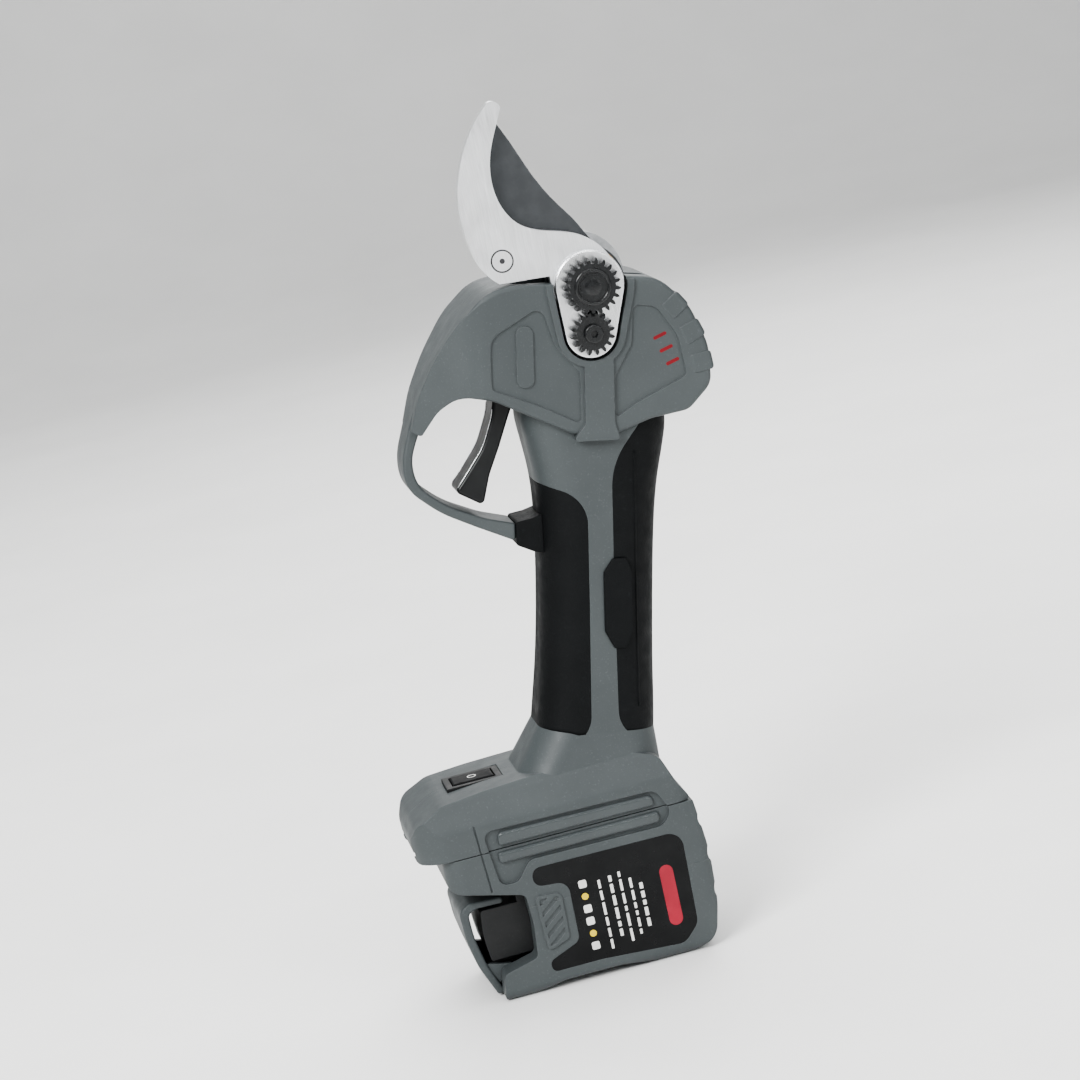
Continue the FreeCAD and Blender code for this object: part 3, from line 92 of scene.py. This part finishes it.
# ------------------------------------------------------------------ materials
class Nodes:
    """A small helper that strings shader nodes together."""

    def __init__(self, name):
        self.mat = bpy.data.materials.new(name)
        self.mat.use_nodes = True
        self.tree = self.mat.node_tree
        self.bsdf = self.tree.nodes["Principled BSDF"]
        self.coord = self.add("ShaderNodeTexCoord").outputs["Object"]

    def add(self, kind, **settings):
        node = self.tree.nodes.new(kind)
        for key, value in settings.items():
            setattr(node, key, value)
        return node

    def link(self, source, target):
        self.tree.links.new(source, target)

    def stretch(self, scale, turn):
        node = self.add("ShaderNodeMapping")
        node.inputs["Scale"].default_value = scale
        node.inputs["Rotation"].default_value = turn
        self.link(self.coord, node.inputs["Vector"])
        return node.outputs["Vector"]

    def noise(self, scale, detail=4.0, rough=0.55, vector=None):
        node = self.add("ShaderNodeTexNoise")
        node.inputs["Scale"].default_value = scale
        node.inputs["Detail"].default_value = detail
        node.inputs["Roughness"].default_value = rough
        self.link(vector or self.coord, node.inputs["Vector"])
        return node.outputs["Fac"]

    def cells(self, scale):
        node = self.add("ShaderNodeTexVoronoi", feature="F1")
        node.inputs["Scale"].default_value = scale
        self.link(self.coord, node.inputs["Vector"])
        return node.outputs["Distance"]

    def bands(self, scale, distortion):
        node = self.add("ShaderNodeTexWave", wave_type="BANDS", bands_direction="X")
        node.inputs["Scale"].default_value = scale
        node.inputs["Distortion"].default_value = distortion
        self.link(self.coord, node.inputs["Vector"])
        return node.outputs["Fac"]

    def remap(self, value, low, high, to_low=0.0, to_high=1.0):
        node = self.add("ShaderNodeMapRange")
        for key, number in zip(("From Min", "From Max", "To Min", "To Max"),
                               (low, high, to_low, to_high)):
            node.inputs[key].default_value = number
        self.link(value, node.inputs["Value"])
        return node.outputs["Result"]

    def math(self, operation, *operands):
        node = self.add("ShaderNodeMath", operation=operation)
        for socket, value in zip(node.inputs, operands):
            if isinstance(value, (int, float)):
                socket.default_value = value
            else:
                self.link(value, socket)
        return node.outputs["Value"]

    def mix(self, factor, a, b):
        node = self.add("ShaderNodeMix", data_type="RGBA")
        self.link(factor, node.inputs["Factor"])
        for name, value in (("A", a), ("B", b)):
            socket = [s for s in node.inputs if s.name == name and s.type == "RGBA"][0]
            if isinstance(value, tuple):
                socket.default_value = (*value[:3], 1)
            else:
                self.link(value, socket)
        return [s for s in node.outputs if s.type == "RGBA"][0]

    def edges(self, radius):
        """1 where the surface is sharply bent and 0 on flats."""
        bevel = self.add("ShaderNodeBevel", samples=4)
        bevel.inputs["Radius"].default_value = radius
        geometry = self.add("ShaderNodeNewGeometry")
        dot = self.add("ShaderNodeVectorMath", operation="DOT_PRODUCT")
        self.link(bevel.outputs["Normal"], dot.inputs[0])
        self.link(geometry.outputs["Normal"], dot.inputs[1])
        return self.remap(dot.outputs["Value"], 0.97, 0.80)

    def bump(self, height, strength, distance):
        """Adds relief on top of the relief or rounding that is there already."""
        node = self.add("ShaderNodeBump")
        node.inputs["Strength"].default_value = strength
        node.inputs["Distance"].default_value = distance
        self.link(height, node.inputs["Height"])
        if self.bsdf.inputs["Normal"].is_linked:
            previous = self.bsdf.inputs["Normal"].links[0].from_socket
            self.link(previous, node.inputs["Normal"])
        self.link(node.outputs["Normal"], self.bsdf.inputs["Normal"])

    def round_edges(self, radius):
        """Shades sharp edges as if they were rounded. It comes before any bump."""
        bevel = self.add("ShaderNodeBevel", samples=6)
        bevel.inputs["Radius"].default_value = radius
        self.link(bevel.outputs["Normal"], self.bsdf.inputs["Normal"])

    def colour(self, value):
        self.link(value, self.bsdf.inputs["Base Color"])

    def rough(self, value):
        self.link(value, self.bsdf.inputs["Roughness"])

    def fixed(self, **values):
        for name, value in values.items():
            self.bsdf.inputs[name.replace("_", " ")].default_value = value


def plastic(name, base, dark, light, ridges=None):
    """Fine spark-eroded moulded plastic, a little paler along worn edges. With `ridges`, a
    distance from the mid plane and a pair of heights, what stands out further between those
    heights is glossy."""
    n = Nodes(name)
    cloud = n.noise(38, 5)
    speck = n.noise(1500, 2)
    tone = n.mix(n.remap(cloud, 0.35, 0.68), dark, base)
    tone = n.mix(n.remap(speck, 0.60, 0.78, 0, 0.35), tone, light)
    worn = n.math("MULTIPLY", n.edges(0.0006), n.remap(n.noise(420, 4), 0.35, 0.75, 0, 0.6))
    n.colour(n.mix(worn, tone, light))
    roughness = n.remap(n.noise(160, 5), 0.3, 0.7, 0.46, 0.60)
    if ridges:
        reach, (low, high) = ridges
        place = n.add("ShaderNodeSeparateXYZ")
        n.link(n.coord, place.inputs["Vector"])
        out = n.math("GREATER_THAN", n.math("ABSOLUTE", place.outputs["Y"]), reach)
        above = n.math("GREATER_THAN", place.outputs["Z"], low)
        below = n.math("LESS_THAN", place.outputs["Z"], high)
        ridge = n.math("MULTIPLY", n.math("MULTIPLY", out, above), below)
        roughness = n.math("MULTIPLY", roughness, n.remap(ridge, 0, 1, 1.0, 0.36))
    n.rough(roughness)
    n.round_edges(0.0005)
    n.bump(n.cells(2600), 0.16, 0.00012)
    n.bump(n.noise(520, 3), 0.10, 0.00016)
    n.fixed(Specular_IOR_Level=0.42)
    return n.mat


def rubber(name, base, light):
    """Matt grained rubber with a little dust in patches."""
    n = Nodes(name)
    tone = n.mix(n.remap(n.noise(60, 5), 0.3, 0.7), base, light)
    dust = n.math("MULTIPLY", n.remap(n.noise(900, 3), 0.56, 0.72),
                  n.remap(n.noise(90, 3), 0.4, 0.7, 0, 0.5))
    n.colour(n.mix(dust, tone, tuple(v * 2.2 for v in light)))
    n.rough(n.remap(n.noise(240, 4), 0.3, 0.7, 0.52, 0.70))
    n.round_edges(0.0006)
    n.bump(n.cells(1900), 0.30, 0.00022)
    n.fixed(Specular_IOR_Level=0.16)
    return n.mat


def ground_steel(name, base, dark, direction, rough=(0.22, 0.38), wear=0.5):
    """Bright metal, ground along `direction`, with a few handling marks."""
    n = Nodes(name)
    lines = n.noise(5200, 3, 0.7, n.stretch((1, 1, 0.03), direction))
    haze = n.noise(70, 5)
    tone = n.mix(n.remap(lines, 0.30, 0.72), dark, base)
    tone = n.mix(n.remap(haze, 0.45, 0.75, 0, wear), tone, tuple(v * 0.8 for v in base))
    n.colour(tone)
    n.rough(n.math("ADD", n.remap(lines, 0.3, 0.7, *rough), n.remap(haze, 0.4, 0.7, 0, 0.10)))
    n.bump(lines, 0.12, 0.00005)
    n.fixed(Metallic=1.0)
    return n.mat


def coated_steel(name, base, light):
    """Steel under a dark non-stick coating, bare where its edges are rubbed."""
    n = Nodes(name)
    tone = n.mix(n.remap(n.noise(260, 4), 0.35, 0.7), base, light)
    rub = n.math("MULTIPLY", n.edges(0.0004), n.remap(n.noise(700, 4), 0.35, 0.7))
    n.colour(n.mix(rub, tone, (0.45, 0.46, 0.47)))
    n.rough(n.remap(n.noise(300, 4), 0.3, 0.7, 0.42, 0.58))
    n.bump(n.noise(3200, 2), 0.14, 0.00006)
    n.fixed(Metallic=0.75)
    return n.mat


def black_oxide(name):
    """Oiled black hardware, a little paler on its edges."""
    n = Nodes(name)
    tone = n.mix(n.remap(n.noise(800, 4), 0.35, 0.7), (0.0045, 0.005, 0.0055), (0.010, 0.011, 0.012))
    rub = n.math("MULTIPLY", n.edges(0.0003), n.remap(n.noise(1200, 4), 0.50, 0.80))
    n.colour(n.mix(rub, tone, (0.12, 0.13, 0.135)))
    n.rough(n.remap(n.noise(500, 4), 0.3, 0.7, 0.20, 0.34))
    n.bump(n.noise(2600, 3), 0.12, 0.00005)
    n.fixed(Metallic=0.0, Specular_IOR_Level=0.45, Coat_Weight=0.12, Coat_Roughness=0.10)
    return n.mat


def cast_alloy(name):
    """Grainy die-cast metal."""
    n = Nodes(name)
    n.colour(n.mix(n.remap(n.noise(300, 5), 0.3, 0.7), (0.40, 0.41, 0.42), (0.60, 0.61, 0.62)))
    n.rough(n.remap(n.noise(500, 4), 0.3, 0.7, 0.42, 0.62))
    n.bump(n.noise(1500, 4), 0.35, 0.0002)
    n.fixed(Metallic=0.9)
    return n.mat


def gloss(name, base, light, rough, shine=0.5):
    """Smooth film, print or moulding."""
    n = Nodes(name)
    n.colour(n.mix(n.remap(n.noise(120, 4), 0.4, 0.7), base, light))
    n.rough(n.remap(n.noise(260, 5), 0.3, 0.7, *rough))
    n.bump(n.noise(900, 2), 0.04, 0.00005)
    n.fixed(Specular_IOR_Level=shine)
    return n.mat


def board(name):
    """A green circuit board with tracks and solder points."""
    n = Nodes(name)
    tracks = n.bands(90, 3.0)
    tone = n.mix(n.remap(tracks, 0.45, 0.55), (0.012, 0.10, 0.045), (0.03, 0.19, 0.085))
    n.colour(n.mix(n.remap(n.cells(260), 0.10, 0.06), tone, (0.62, 0.60, 0.52)))
    n.rough(n.remap(n.noise(300, 3), 0.3, 0.7, 0.22, 0.36))
    n.bump(tracks, 0.2, 0.00008)
    return n.mat


def wrap(name, base, light):
    """Soft plastic sleeve."""
    n = Nodes(name)
    n.colour(n.mix(n.remap(n.noise(70, 4), 0.35, 0.7), base, light))
    n.rough(n.remap(n.noise(180, 4), 0.3, 0.7, 0.25, 0.4))
    n.bump(n.noise(240, 4), 0.2, 0.0002)
    return n.mat


GREY = plastic("grey_plastic", (0.054, 0.063, 0.065), (0.045, 0.053, 0.055), (0.12, 0.132, 0.136),
               ridges=(RIDGE_OUT, RIDGE_HEIGHTS))
DARK = plastic("dark_plastic", (0.0075, 0.0083, 0.0088), (0.0055, 0.006, 0.0065), (0.022, 0.024, 0.025))
RUBBER = rubber("grip_rubber", (0.0030, 0.0036, 0.0040), (0.0050, 0.0058, 0.0064))
PALE = plastic("pale_plastic", (0.62, 0.62, 0.60), (0.52, 0.52, 0.50), (0.8, 0.8, 0.8))
HOOK = ground_steel("hook_steel", (0.93, 0.94, 0.95), (0.78, 0.79, 0.80), (0, -LEAN, 0),
                    (0.30, 0.42), 0.25)
PLATE = ground_steel("plate_steel", (0.92, 0.93, 0.94), (0.72, 0.73, 0.74),
                     (0, math.pi / 2, 0), (0.20, 0.32))
STEEL = ground_steel("machined_steel", (0.52, 0.53, 0.55), (0.36, 0.37, 0.39), (0.4, 0.2, 0))
BLADE = coated_steel("coated_blade", (0.060, 0.064, 0.068), (0.072, 0.077, 0.081))
OXIDE = black_oxide("black_oxide")
ALLOY = cast_alloy("cast_alloy")
BRONZE = ground_steel("bronze", (0.62, 0.42, 0.20), (0.42, 0.27, 0.12), (0, 0, 0.3))
COPPER = ground_steel("contact_copper", (0.85, 0.50, 0.32), (0.60, 0.33, 0.20), (0.2, 0, 0))
BOARD = board("circuit_board")
WIRE = wrap("wire_red", (0.30, 0.012, 0.010), (0.42, 0.03, 0.02))
CELL = wrap("cell_wrap", (0.02, 0.16, 0.09), (0.04, 0.24, 0.14))
LABEL = gloss("label_film", (0.0030, 0.0033, 0.0038), (0.0060, 0.0065, 0.0070), (0.24, 0.36), 0.22)
TRIGGER = gloss("trigger_plastic", (0.0055, 0.006, 0.0065), (0.0095, 0.0105, 0.011), (0.28, 0.40), 0.30)
PRINT = gloss("label_print", (0.62, 0.62, 0.60), (0.72, 0.72, 0.70), (0.3, 0.45))
RED = gloss("red_print", (0.26, 0.004, 0.018), (0.32, 0.008, 0.026), (0.3, 0.45))
DULL_RED = gloss("red_mark", (0.13, 0.004, 0.008), (0.19, 0.007, 0.012), (0.4, 0.55), 0.3)
YELLOW = gloss("yellow_print", (0.62, 0.46, 0.02), (0.72, 0.54, 0.04), (0.3, 0.45))
ETCH = gloss("etched_mark", (0.02, 0.02, 0.022), (0.05, 0.05, 0.055), (0.45, 0.6))
BUTTON = gloss("button_gloss", (0.0030, 0.0033, 0.0038), (0.0060, 0.0065, 0.0070), (0.42, 0.55), 0.10)

FINISH = {
    GREY: ["handle_shell_left", "handle_shell_right", "battery_tub", "battery_lid",
           "battery_latch"],
    DARK: ["switch_bezel", "latch_well"],
    TRIGGER: ["trigger"],
    RUBBER: ["front_grip_left", "front_grip_right", "rear_grip_left", "rear_grip_right",
             "grip_side_pads", "guard_socket"],
    HOOK: ["counter_blade"],
    PLATE: ["clamp_plate", "motor_can"],
    BLADE: ["cutting_blade"],
    OXIDE: ["tension_nut", "lock_pinion", "lock_screw", "pivot_bolt", "shell_screws"],
    ALLOY: ["gear_housing"],
    BRONZE: ["pivot_bush", "thrust_washers"],
    COPPER: ["terminal_blades", "cell_tabs"],
    BOARD: ["hall_sensor_board", "switch_board", "control_board", "battery_board"],
    WIRE: ["motor_leads"],
    CELL: ["battery_cells"],
    LABEL: ["battery_labels"],
    BUTTON: ["power_button"],
    PALE: ["terminal_block", "cell_frames"],
    STEEL: ["blade_gear", "blade_dowels", "bevel_pinion", "pinion_bearings", "planet_carrier",
            "ring_gear_case", "planet_gear_1", "planet_gear_2", "planet_gear_3", "sun_gear",
            "motor_rotor", "trigger_magnet", "trigger_pin", "trigger_spring", "latch_pin",
            "latch_spring"],
}
for material, names in FINISH.items():
    for name in names:
        node = frame["nodes"][name]
        node.data.materials.clear()
        node.data.materials.append(material)


def rounded(name, width):
    """Rounds the sharp edges of a CAD piece, so that they catch the light."""
    modifier = frame["nodes"][name].modifiers.new("rounded", "BEVEL")
    modifier.width = width
    modifier.segments = 2
    modifier.limit_method = "ANGLE"
    modifier.angle_limit = math.radians(30)


for name, width in (("counter_blade", 0.00035), ("clamp_plate", 0.00025),
                    ("tension_nut", 0.00012), ("lock_pinion", 0.00012),
                    ("cutting_blade", 0.00012), ("switch_bezel", 0.0003)):
    rounded(name, width)


# ------------------------------------------------------------------ applied details
def row(x, z, y):
    """A point of the frame, given in mm: forwards or back, up, and out to a side."""
    return Vector((x, y, z)) / 1000


def solid_mesh(name, verts, faces, material, smooth=False):
    """A closed mesh with its faces turned outwards and its doubled points joined."""
    mesh = bpy.data.meshes.new(name)
    mesh.from_pydata(verts, [], faces)
    work = bmesh.new()
    work.from_mesh(mesh)
    bmesh.ops.remove_doubles(work, verts=work.verts, dist=1e-7)
    bmesh.ops.recalc_face_normals(work, faces=work.faces)
    work.to_mesh(mesh)
    work.free()
    if smooth:
        mesh.shade_smooth()
    mesh.materials.append(material)
    return mesh


def prisms(name, body, material, place, outlines, y0, y1):
    """Thin plates from y0 to y1, one for each outline, as one piece."""
    verts, faces = [], []
    for outline in outlines:
        first, count = len(verts), len(outline)
        verts += [place(a, b, y0) for a, b in outline] + [place(a, b, y1) for a, b in outline]
        faces.append([first + i for i in range(count)])
        faces.append([first + count + i for i in reversed(range(count))])
        faces += [[first + i, first + (i + 1) % count, first + count + (i + 1) % count,
                   first + count + i] for i in range(count)]
    return add_piece(name, solid_mesh(name, verts, faces, material), body)


def add_piece(name, mesh, body):
    """A mesh as a piece of its own that moves with a body."""
    obj = bpy.data.objects.new(name, mesh)
    bpy.context.scene.collection.objects.link(obj)
    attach(obj, body)
    return obj


def bar(a, b, length, width, turn=0.0, radius=None, steps=5):
    """A rounded bar centred on (a, b), its length along the second axis before the turn."""
    radius = width / 2 if radius is None else radius
    outline = []
    for k, (sx, sy) in enumerate(((1, 1), (-1, 1), (-1, -1), (1, -1))):
        for i in range(steps + 1):
            angle = math.radians(90 * k + 90 * i / steps)
            outline.append((sx * (width / 2 - radius) + radius * math.cos(angle),
                            sy * (length / 2 - radius) + radius * math.sin(angle)))
    c, s = math.cos(math.radians(turn)), math.sin(math.radians(turn))
    return [(a + p * c + q * s, b - p * s + q * c) for p, q in outline]


def ring_mesh(name, place, a, b, outer, inner, y0, y1, material, steps=48):
    """A flat ring about (a, b), from y0 to y1."""
    verts, faces = [], []
    for k in range(steps):
        c, s = math.cos(2 * math.pi * k / steps), math.sin(2 * math.pi * k / steps)
        for radius, y in ((outer, y0), (inner, y0), (inner, y1), (outer, y1)):
            verts.append(place(a + radius * c, b + radius * s, y))
    for k in range(steps):
        this, following = 4 * k, 4 * ((k + 1) % steps)
        for i in range(4):
            j = (i + 1) % 4
            faces.append([this + i, this + j, following + j, following + i])
    return solid_mesh(name, verts, faces, material)


def lathe_mesh(name, place, profile, material, steps=48):
    """(radius, y) pairs turned about the pivot's axis. A profile that starts on the axis ends
    there too; one that doesn't is a closed ring."""
    verts = [place(r * math.cos(2 * math.pi * k / steps), r * math.sin(2 * math.pi * k / steps), y)
             for r, y in profile for k in range(steps)]
    faces = []
    for i in range(len(profile) - 1 if profile[0][0] == 0 else len(profile)):
        first, second = i * steps, (i + 1) % len(profile) * steps
        for k in range(steps):
            following = (k + 1) % steps
            faces.append([first + k, first + following, second + following, second + k])
    return solid_mesh(name, verts, faces, material, smooth=True)


def skin(name):
    """The faces of a CAD piece, to cast rays at."""
    mesh = frame["nodes"][name].data
    return BVHTree.FromPolygons([v.co.copy() for v in mesh.vertices],
                                [p.vertices[:] for p in mesh.polygons])


def bead(name, body, material, points, radius, sides=8):
    """A round cord laid along points, closed at its ends."""
    verts, faces = [], []
    for i, point in enumerate(points):
        ahead = points[min(i + 1, len(points) - 1)] - points[max(i - 1, 0)]
        across = ahead.cross(Vector((0, 1, 0))).normalized()
        out = across.cross(ahead).normalized()
        for k in range(sides):
            angle = 2 * math.pi * k / sides
            verts.append(point + (across * math.cos(angle) + out * math.sin(angle)) * radius)
    for i in range(len(points) - 1):
        for k in range(sides):
            a, b = i * sides + k, i * sides + (k + 1) % sides
            faces.append([a, b, b + sides, a + sides])
    faces.append(list(reversed(range(sides))))
    faces.append([len(verts) - sides + k for k in range(sides)])
    return add_piece(name, solid_mesh(name, verts, faces, material, smooth=True), body)


def spring_mesh(name, low, high, material, turns=5.0, wire=0.00034, steps=24, sides=8):
    """A compression spring that fills the box from low to high, with closer coils at its ends.
    `wire` is the radius of the wire."""
    middle, height = (low + high) / 2, high.z - low.z - 2 * wire
    radius = (high.y - low.y) / 2 - wire
    even, eased = 0.45, 0.55            # shares of the rise that are steady and slow at the ends
    count = int(turns * steps)
    verts, faces = [], []
    for i in range(count + 1):
        share, angle = i / count, 2 * math.pi * turns * i / count
        lift = share * share * (3 - 2 * share)
        rise = even * share + eased * lift
        out = Vector((math.cos(angle), math.sin(angle), 0))
        centre = Vector((middle.x, middle.y, low.z + wire + height * rise)) + out * radius
        for k in range(sides):
            turn = 2 * math.pi * k / sides
            verts.append(centre + (out * math.cos(turn) + Vector((0, 0, 1)) * math.sin(turn)) * wire)
    for i in range(count):
        for k in range(sides):
            a, b = i * sides + k, i * sides + (k + 1) % sides
            faces.append([a, b, b + sides, a + sides])
    faces.append(list(reversed(range(sides))))
    faces.append([count * sides + k for k in range(sides)])
    return solid_mesh(name, verts, faces, material, smooth=True)


def label_print(side, word):
    """Generic bars and squares where the battery's label is printed."""
    y0, y1 = side * (LABEL_FACE + FILM), side * (LABEL_FACE - 0.005)
    spread, gap = random.Random(11), 0.8
    lines = []
    for x, top, bottom, width in ((34.2, 33.0, 10.5, 0.9), (38.0, 33.5, 12.0, 1.1),
                                  (41.2, 34.0, 9.5, 0.9), (44.4, 31.0, 12.5, 0.9),
                                  (47.6, 28.5, 14.5, 1.2)):
        z = top
        while z > bottom:
            length = spread.uniform(1.6, 4.6)
            lines.append(bar(x, z - length / 2, length, width, radius=0.25))
            z -= length + gap
    prisms("label_lines_" + word, "battery", PRINT, row, lines, y0, y1)
    column, first, pitch = 28.8, 33.0, 4.3
    squares = [bar(column, first - pitch * k, 2.7, 2.7, radius=0.6) for k in (0, 2, 3, 5)]
    prisms("label_squares_" + word, "battery", PRINT, row, squares, y0, y1)
    spots = [bar(column, first - pitch * k, 2.3, 2.3, radius=1.1) for k in (1, 4)]
    prisms("label_spots_" + word, "battery", YELLOW, row, spots, y0, y1)
    prisms("label_bar_" + word, "battery", RED, row,
           [bar(56.6, 21.6, 21.0, 4.6)], y0, y1)


def head_print(side, word):
    """Three slanting dashes on the head's panel."""
    length, width, turn = 4.6, 1.1, 66
    dashes = [bar(24.3 + 2.0 * k, -21.2 - 4.2 * k, length, width, turn) for k in (-1, 0, 1)]
    prisms("head_dashes_" + word, "handle", DULL_RED, tool, dashes,
           side * (PANEL_FACE + FILM), side * (PANEL_FACE - 0.01))


def grip_bead(side, word):
    """A moulded line down the flank of the rear rubber."""
    rubber_skin = skin("rear_grip_" + word)
    behind, top, bottom, step = 13.6, -54, -141, -3
    path = []
    for w in range(top, bottom, step):
        point = tool(behind, w)
        outside = Vector((point.x, side * 0.1, point.z))
        hit = rubber_skin.ray_cast(outside, Vector((0, -side, 0)))[0]
        if hit:
            path.append(Vector((point.x, hit.y, point.z)))
    bead("rear_grip_bead_" + word, "handle", RUBBER, path, 0.00035)


def trigger_painted_highlight(side, word):
    """The bright line along an edge of the trigger's front: a thin bright steel cord laid there as a
    painted highlight, where the glossy edge catches the light.
    """
    trigger_skin = skin("trigger")
    before, top, spacing, aside = -70, -39, 1.35, 6.1
    path = []
    for step in range(20):
        in_front = tool(before, top - spacing * step, side * aside)
        hit = trigger_skin.ray_cast(in_front, BACK)[0]
        if hit:
            path.append(hit)
    # the bright steel cord is a painted highlight on the trigger's front edge
    bead("trigger_painted_highlight_" + word, "trigger", PLATE, path, 0.00018)


def seated_screws():
    """The case screws, with the front one of the head sunk to the tapered flank."""
    mesh = frame["nodes"]["shell_screws"].data.copy()
    front, reach, sink = tool(-44.0, -24.0), 0.004, 0.0021
    for vertex in mesh.vertices:
        if math.hypot(vertex.co.x - front.x, vertex.co.z - front.z) < reach:
            vertex.co.y -= sink
    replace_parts(add_piece("case_screws", mesh, "handle"), "shell_screws")


def trigger_coil():
    """The trigger's spring, drawn as a coil."""
    low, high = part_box("trigger_spring")
    spring = spring_mesh("trigger_coil", low, high, STEEL)
    spring = add_piece("trigger_coil", spring, "handle")
    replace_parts(spring, "trigger_spring")
    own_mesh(spring)


def button_mark():
    """A printed ring on top of the power button."""
    low, high = (v * 1000 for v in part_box("power_button"))
    centre, outer, inner = ((low.x + high.x) / 2, (low.y + high.y) / 2), 1.5, 1.15
    mark = ring_mesh("button_mark", lambda x, y, z: Vector((x, y, z)) / 1000, *centre,
                     outer, inner, high.z - 0.05, high.z + FILM, PRINT)
    add_piece("button_mark", mark, "power_button")


def bolt_end():
    """The pivot bolt's domed end in the middle of the tension nut, and the nut's raised collar."""
    bolt = lathe_mesh("bolt_dome", tool, [(0.0, -25.56), (1.4, -25.53), (2.6, -25.42),
                                          (3.4, -25.18), (3.8, -24.8), (0.0, -24.8)], OXIDE)
    add_piece("bolt_dome", bolt, "handle")
    collar = lathe_mesh("nut_collar", tool, [(4.6, -24.9), (4.75, -25.25), (5.1, -25.4),
                                             (5.5, -25.4), (5.85, -25.25), (6.0, -24.9)], OXIDE)
    add_piece("nut_collar", collar, "handle")


def hook_mark():
    """A ring with a dot, etched in the hook."""
    u, w, y0, y1 = -27.4, 8.6, -HOOK_FACE - FILM, -HOOK_FACE + 0.01
    outer, inner, dot = 3.7, 3.2, 1.7
    mark = ring_mesh("hook_mark", tool, u, w, outer, inner, y0, y1, ETCH)
    add_piece("hook_mark", mark, "handle")
    prisms("hook_mark_dot", "handle", ETCH, tool, [bar(u, w, dot, dot)], y0, y1)


for side, word in SIDES:
    label_print(side, word)
    head_print(side, word)
    grip_bead(side, word)
# painted highlights: bright steel cords along the front edges of the trigger
for side, word in SIDES:
    trigger_painted_highlight(side, word)
seated_screws()
trigger_coil()
button_mark()
bolt_end()
hook_mark()


# ------------------------------------------------------------------ floor, light and camera
def floor_material():
    """Pale matt paper."""
    n = Nodes("floor_paper")
    n.colour(n.mix(n.remap(n.noise(9, 4), 0.3, 0.7), (0.80, 0.80, 0.79), (0.84, 0.84, 0.83)))
    n.rough(n.remap(n.noise(40, 3), 0.3, 0.7, 0.6, 0.75))
    n.bump(n.noise(900, 3), 0.05, 0.0002)
    return n.mat


def floor():
    """A sheet that lies flat and sweeps up behind the object."""
    mesh = bpy.data.meshes.new("floor")
    reach, depth, sweep, top, steps = 9.0, 1.6, 0.8, 3.0, 12
    rows = [(-reach, 0.0), (depth, 0.0)]
    for k in range(1, steps + 1):
        a = math.pi / 2 * k / steps
        rows.append((depth + sweep * math.sin(a), sweep - sweep * math.cos(a)))
    rows.append((depth + sweep, top))
    verts = [(x, y, z) for y, z in rows for x in (-reach, reach)]
    faces = [(2 * i, 2 * i + 1, 2 * i + 3, 2 * i + 2) for i in range(len(rows) - 1)]
    mesh.from_pydata(verts, [], faces)
    mesh.shade_smooth()
    mesh.materials.append(floor_material())
    obj = bpy.data.objects.new("floor", mesh)
    bpy.context.scene.collection.objects.link(obj)


def area_light(name, place, aim, size, power):
    """A softbox at `place`, turned to `aim`."""
    light = bpy.data.lights.new(name, "AREA")
    light.shape = "RECTANGLE"
    light.size, light.size_y = size
    light.energy = power
    obj = bpy.data.objects.new(name, light)
    obj.location = place
    obj.rotation_euler = (Vector(aim) - Vector(place)).to_track_quat("-Z", "Y").to_euler()
    bpy.context.scene.collection.objects.link(obj)


def camera():
    """The photograph's view: nearly square on to the left flank, from a little in front and
    above, and rolled so that the handle leans as it does there."""
    low, high = (Vector(v) for v in CAD_BOX)
    aim = (low + high) / 2
    roll = math.radians(12.4)
    left, above, distance = 0.174, 0.180, 0.960
    right = Vector((math.cos(roll), 0, -math.sin(roll)))
    up = Vector((math.sin(roll), 0, math.cos(roll)))
    place = Vector((aim.x, low.y, aim.z)) - right * left + up * above + OUT * distance
    back = (place - aim).normalized()
    side = up.cross(back).normalized()
    top = back.cross(side)
    data = bpy.data.cameras.new("camera")
    data.lens, data.sensor_width = 104, 36
    obj = bpy.data.objects.new("camera", data)
    basis = Matrix((side, top, back)).transposed().to_4x4()
    obj.matrix_world = Matrix.Translation(place) @ basis
    bpy.context.scene.collection.objects.link(obj)
    bpy.context.scene.camera = obj


def surroundings():
    """Pale even light from all around."""
    world = bpy.data.worlds.new("studio")
    world.use_nodes = True
    background = world.node_tree.nodes["Background"]
    background.inputs["Color"].default_value = (0.97, 0.98, 1.0, 1)
    background.inputs["Strength"].default_value = 0.30
    bpy.context.scene.world = world


MIDDLE = (0.04, 0, 0.14)        # the middle of the object, near enough to aim a softbox at
floor()
area_light("key", (-0.9, -1.1, 1.25), MIDDLE, (0.8, 0.8), 40)
area_light("fill", (1.1, -1.2, 0.7), MIDDLE, (1.0, 1.0), 7)
area_light("strip", (0.30, -1.35, 0.86), (0.04, 0, 0.06), (0.9, 0.07), 5)
area_light("top", (0.1, 0.25, 1.5), (0.04, 0, 0.1), (1.2, 1.2), 22)
area_light("rear", (0.5, 1.0, 0.9), MIDDLE, (1.0, 1.0), 8)
surroundings()
bpy.context.scene.view_settings.look = "AgX - Medium High Contrast"
camera()
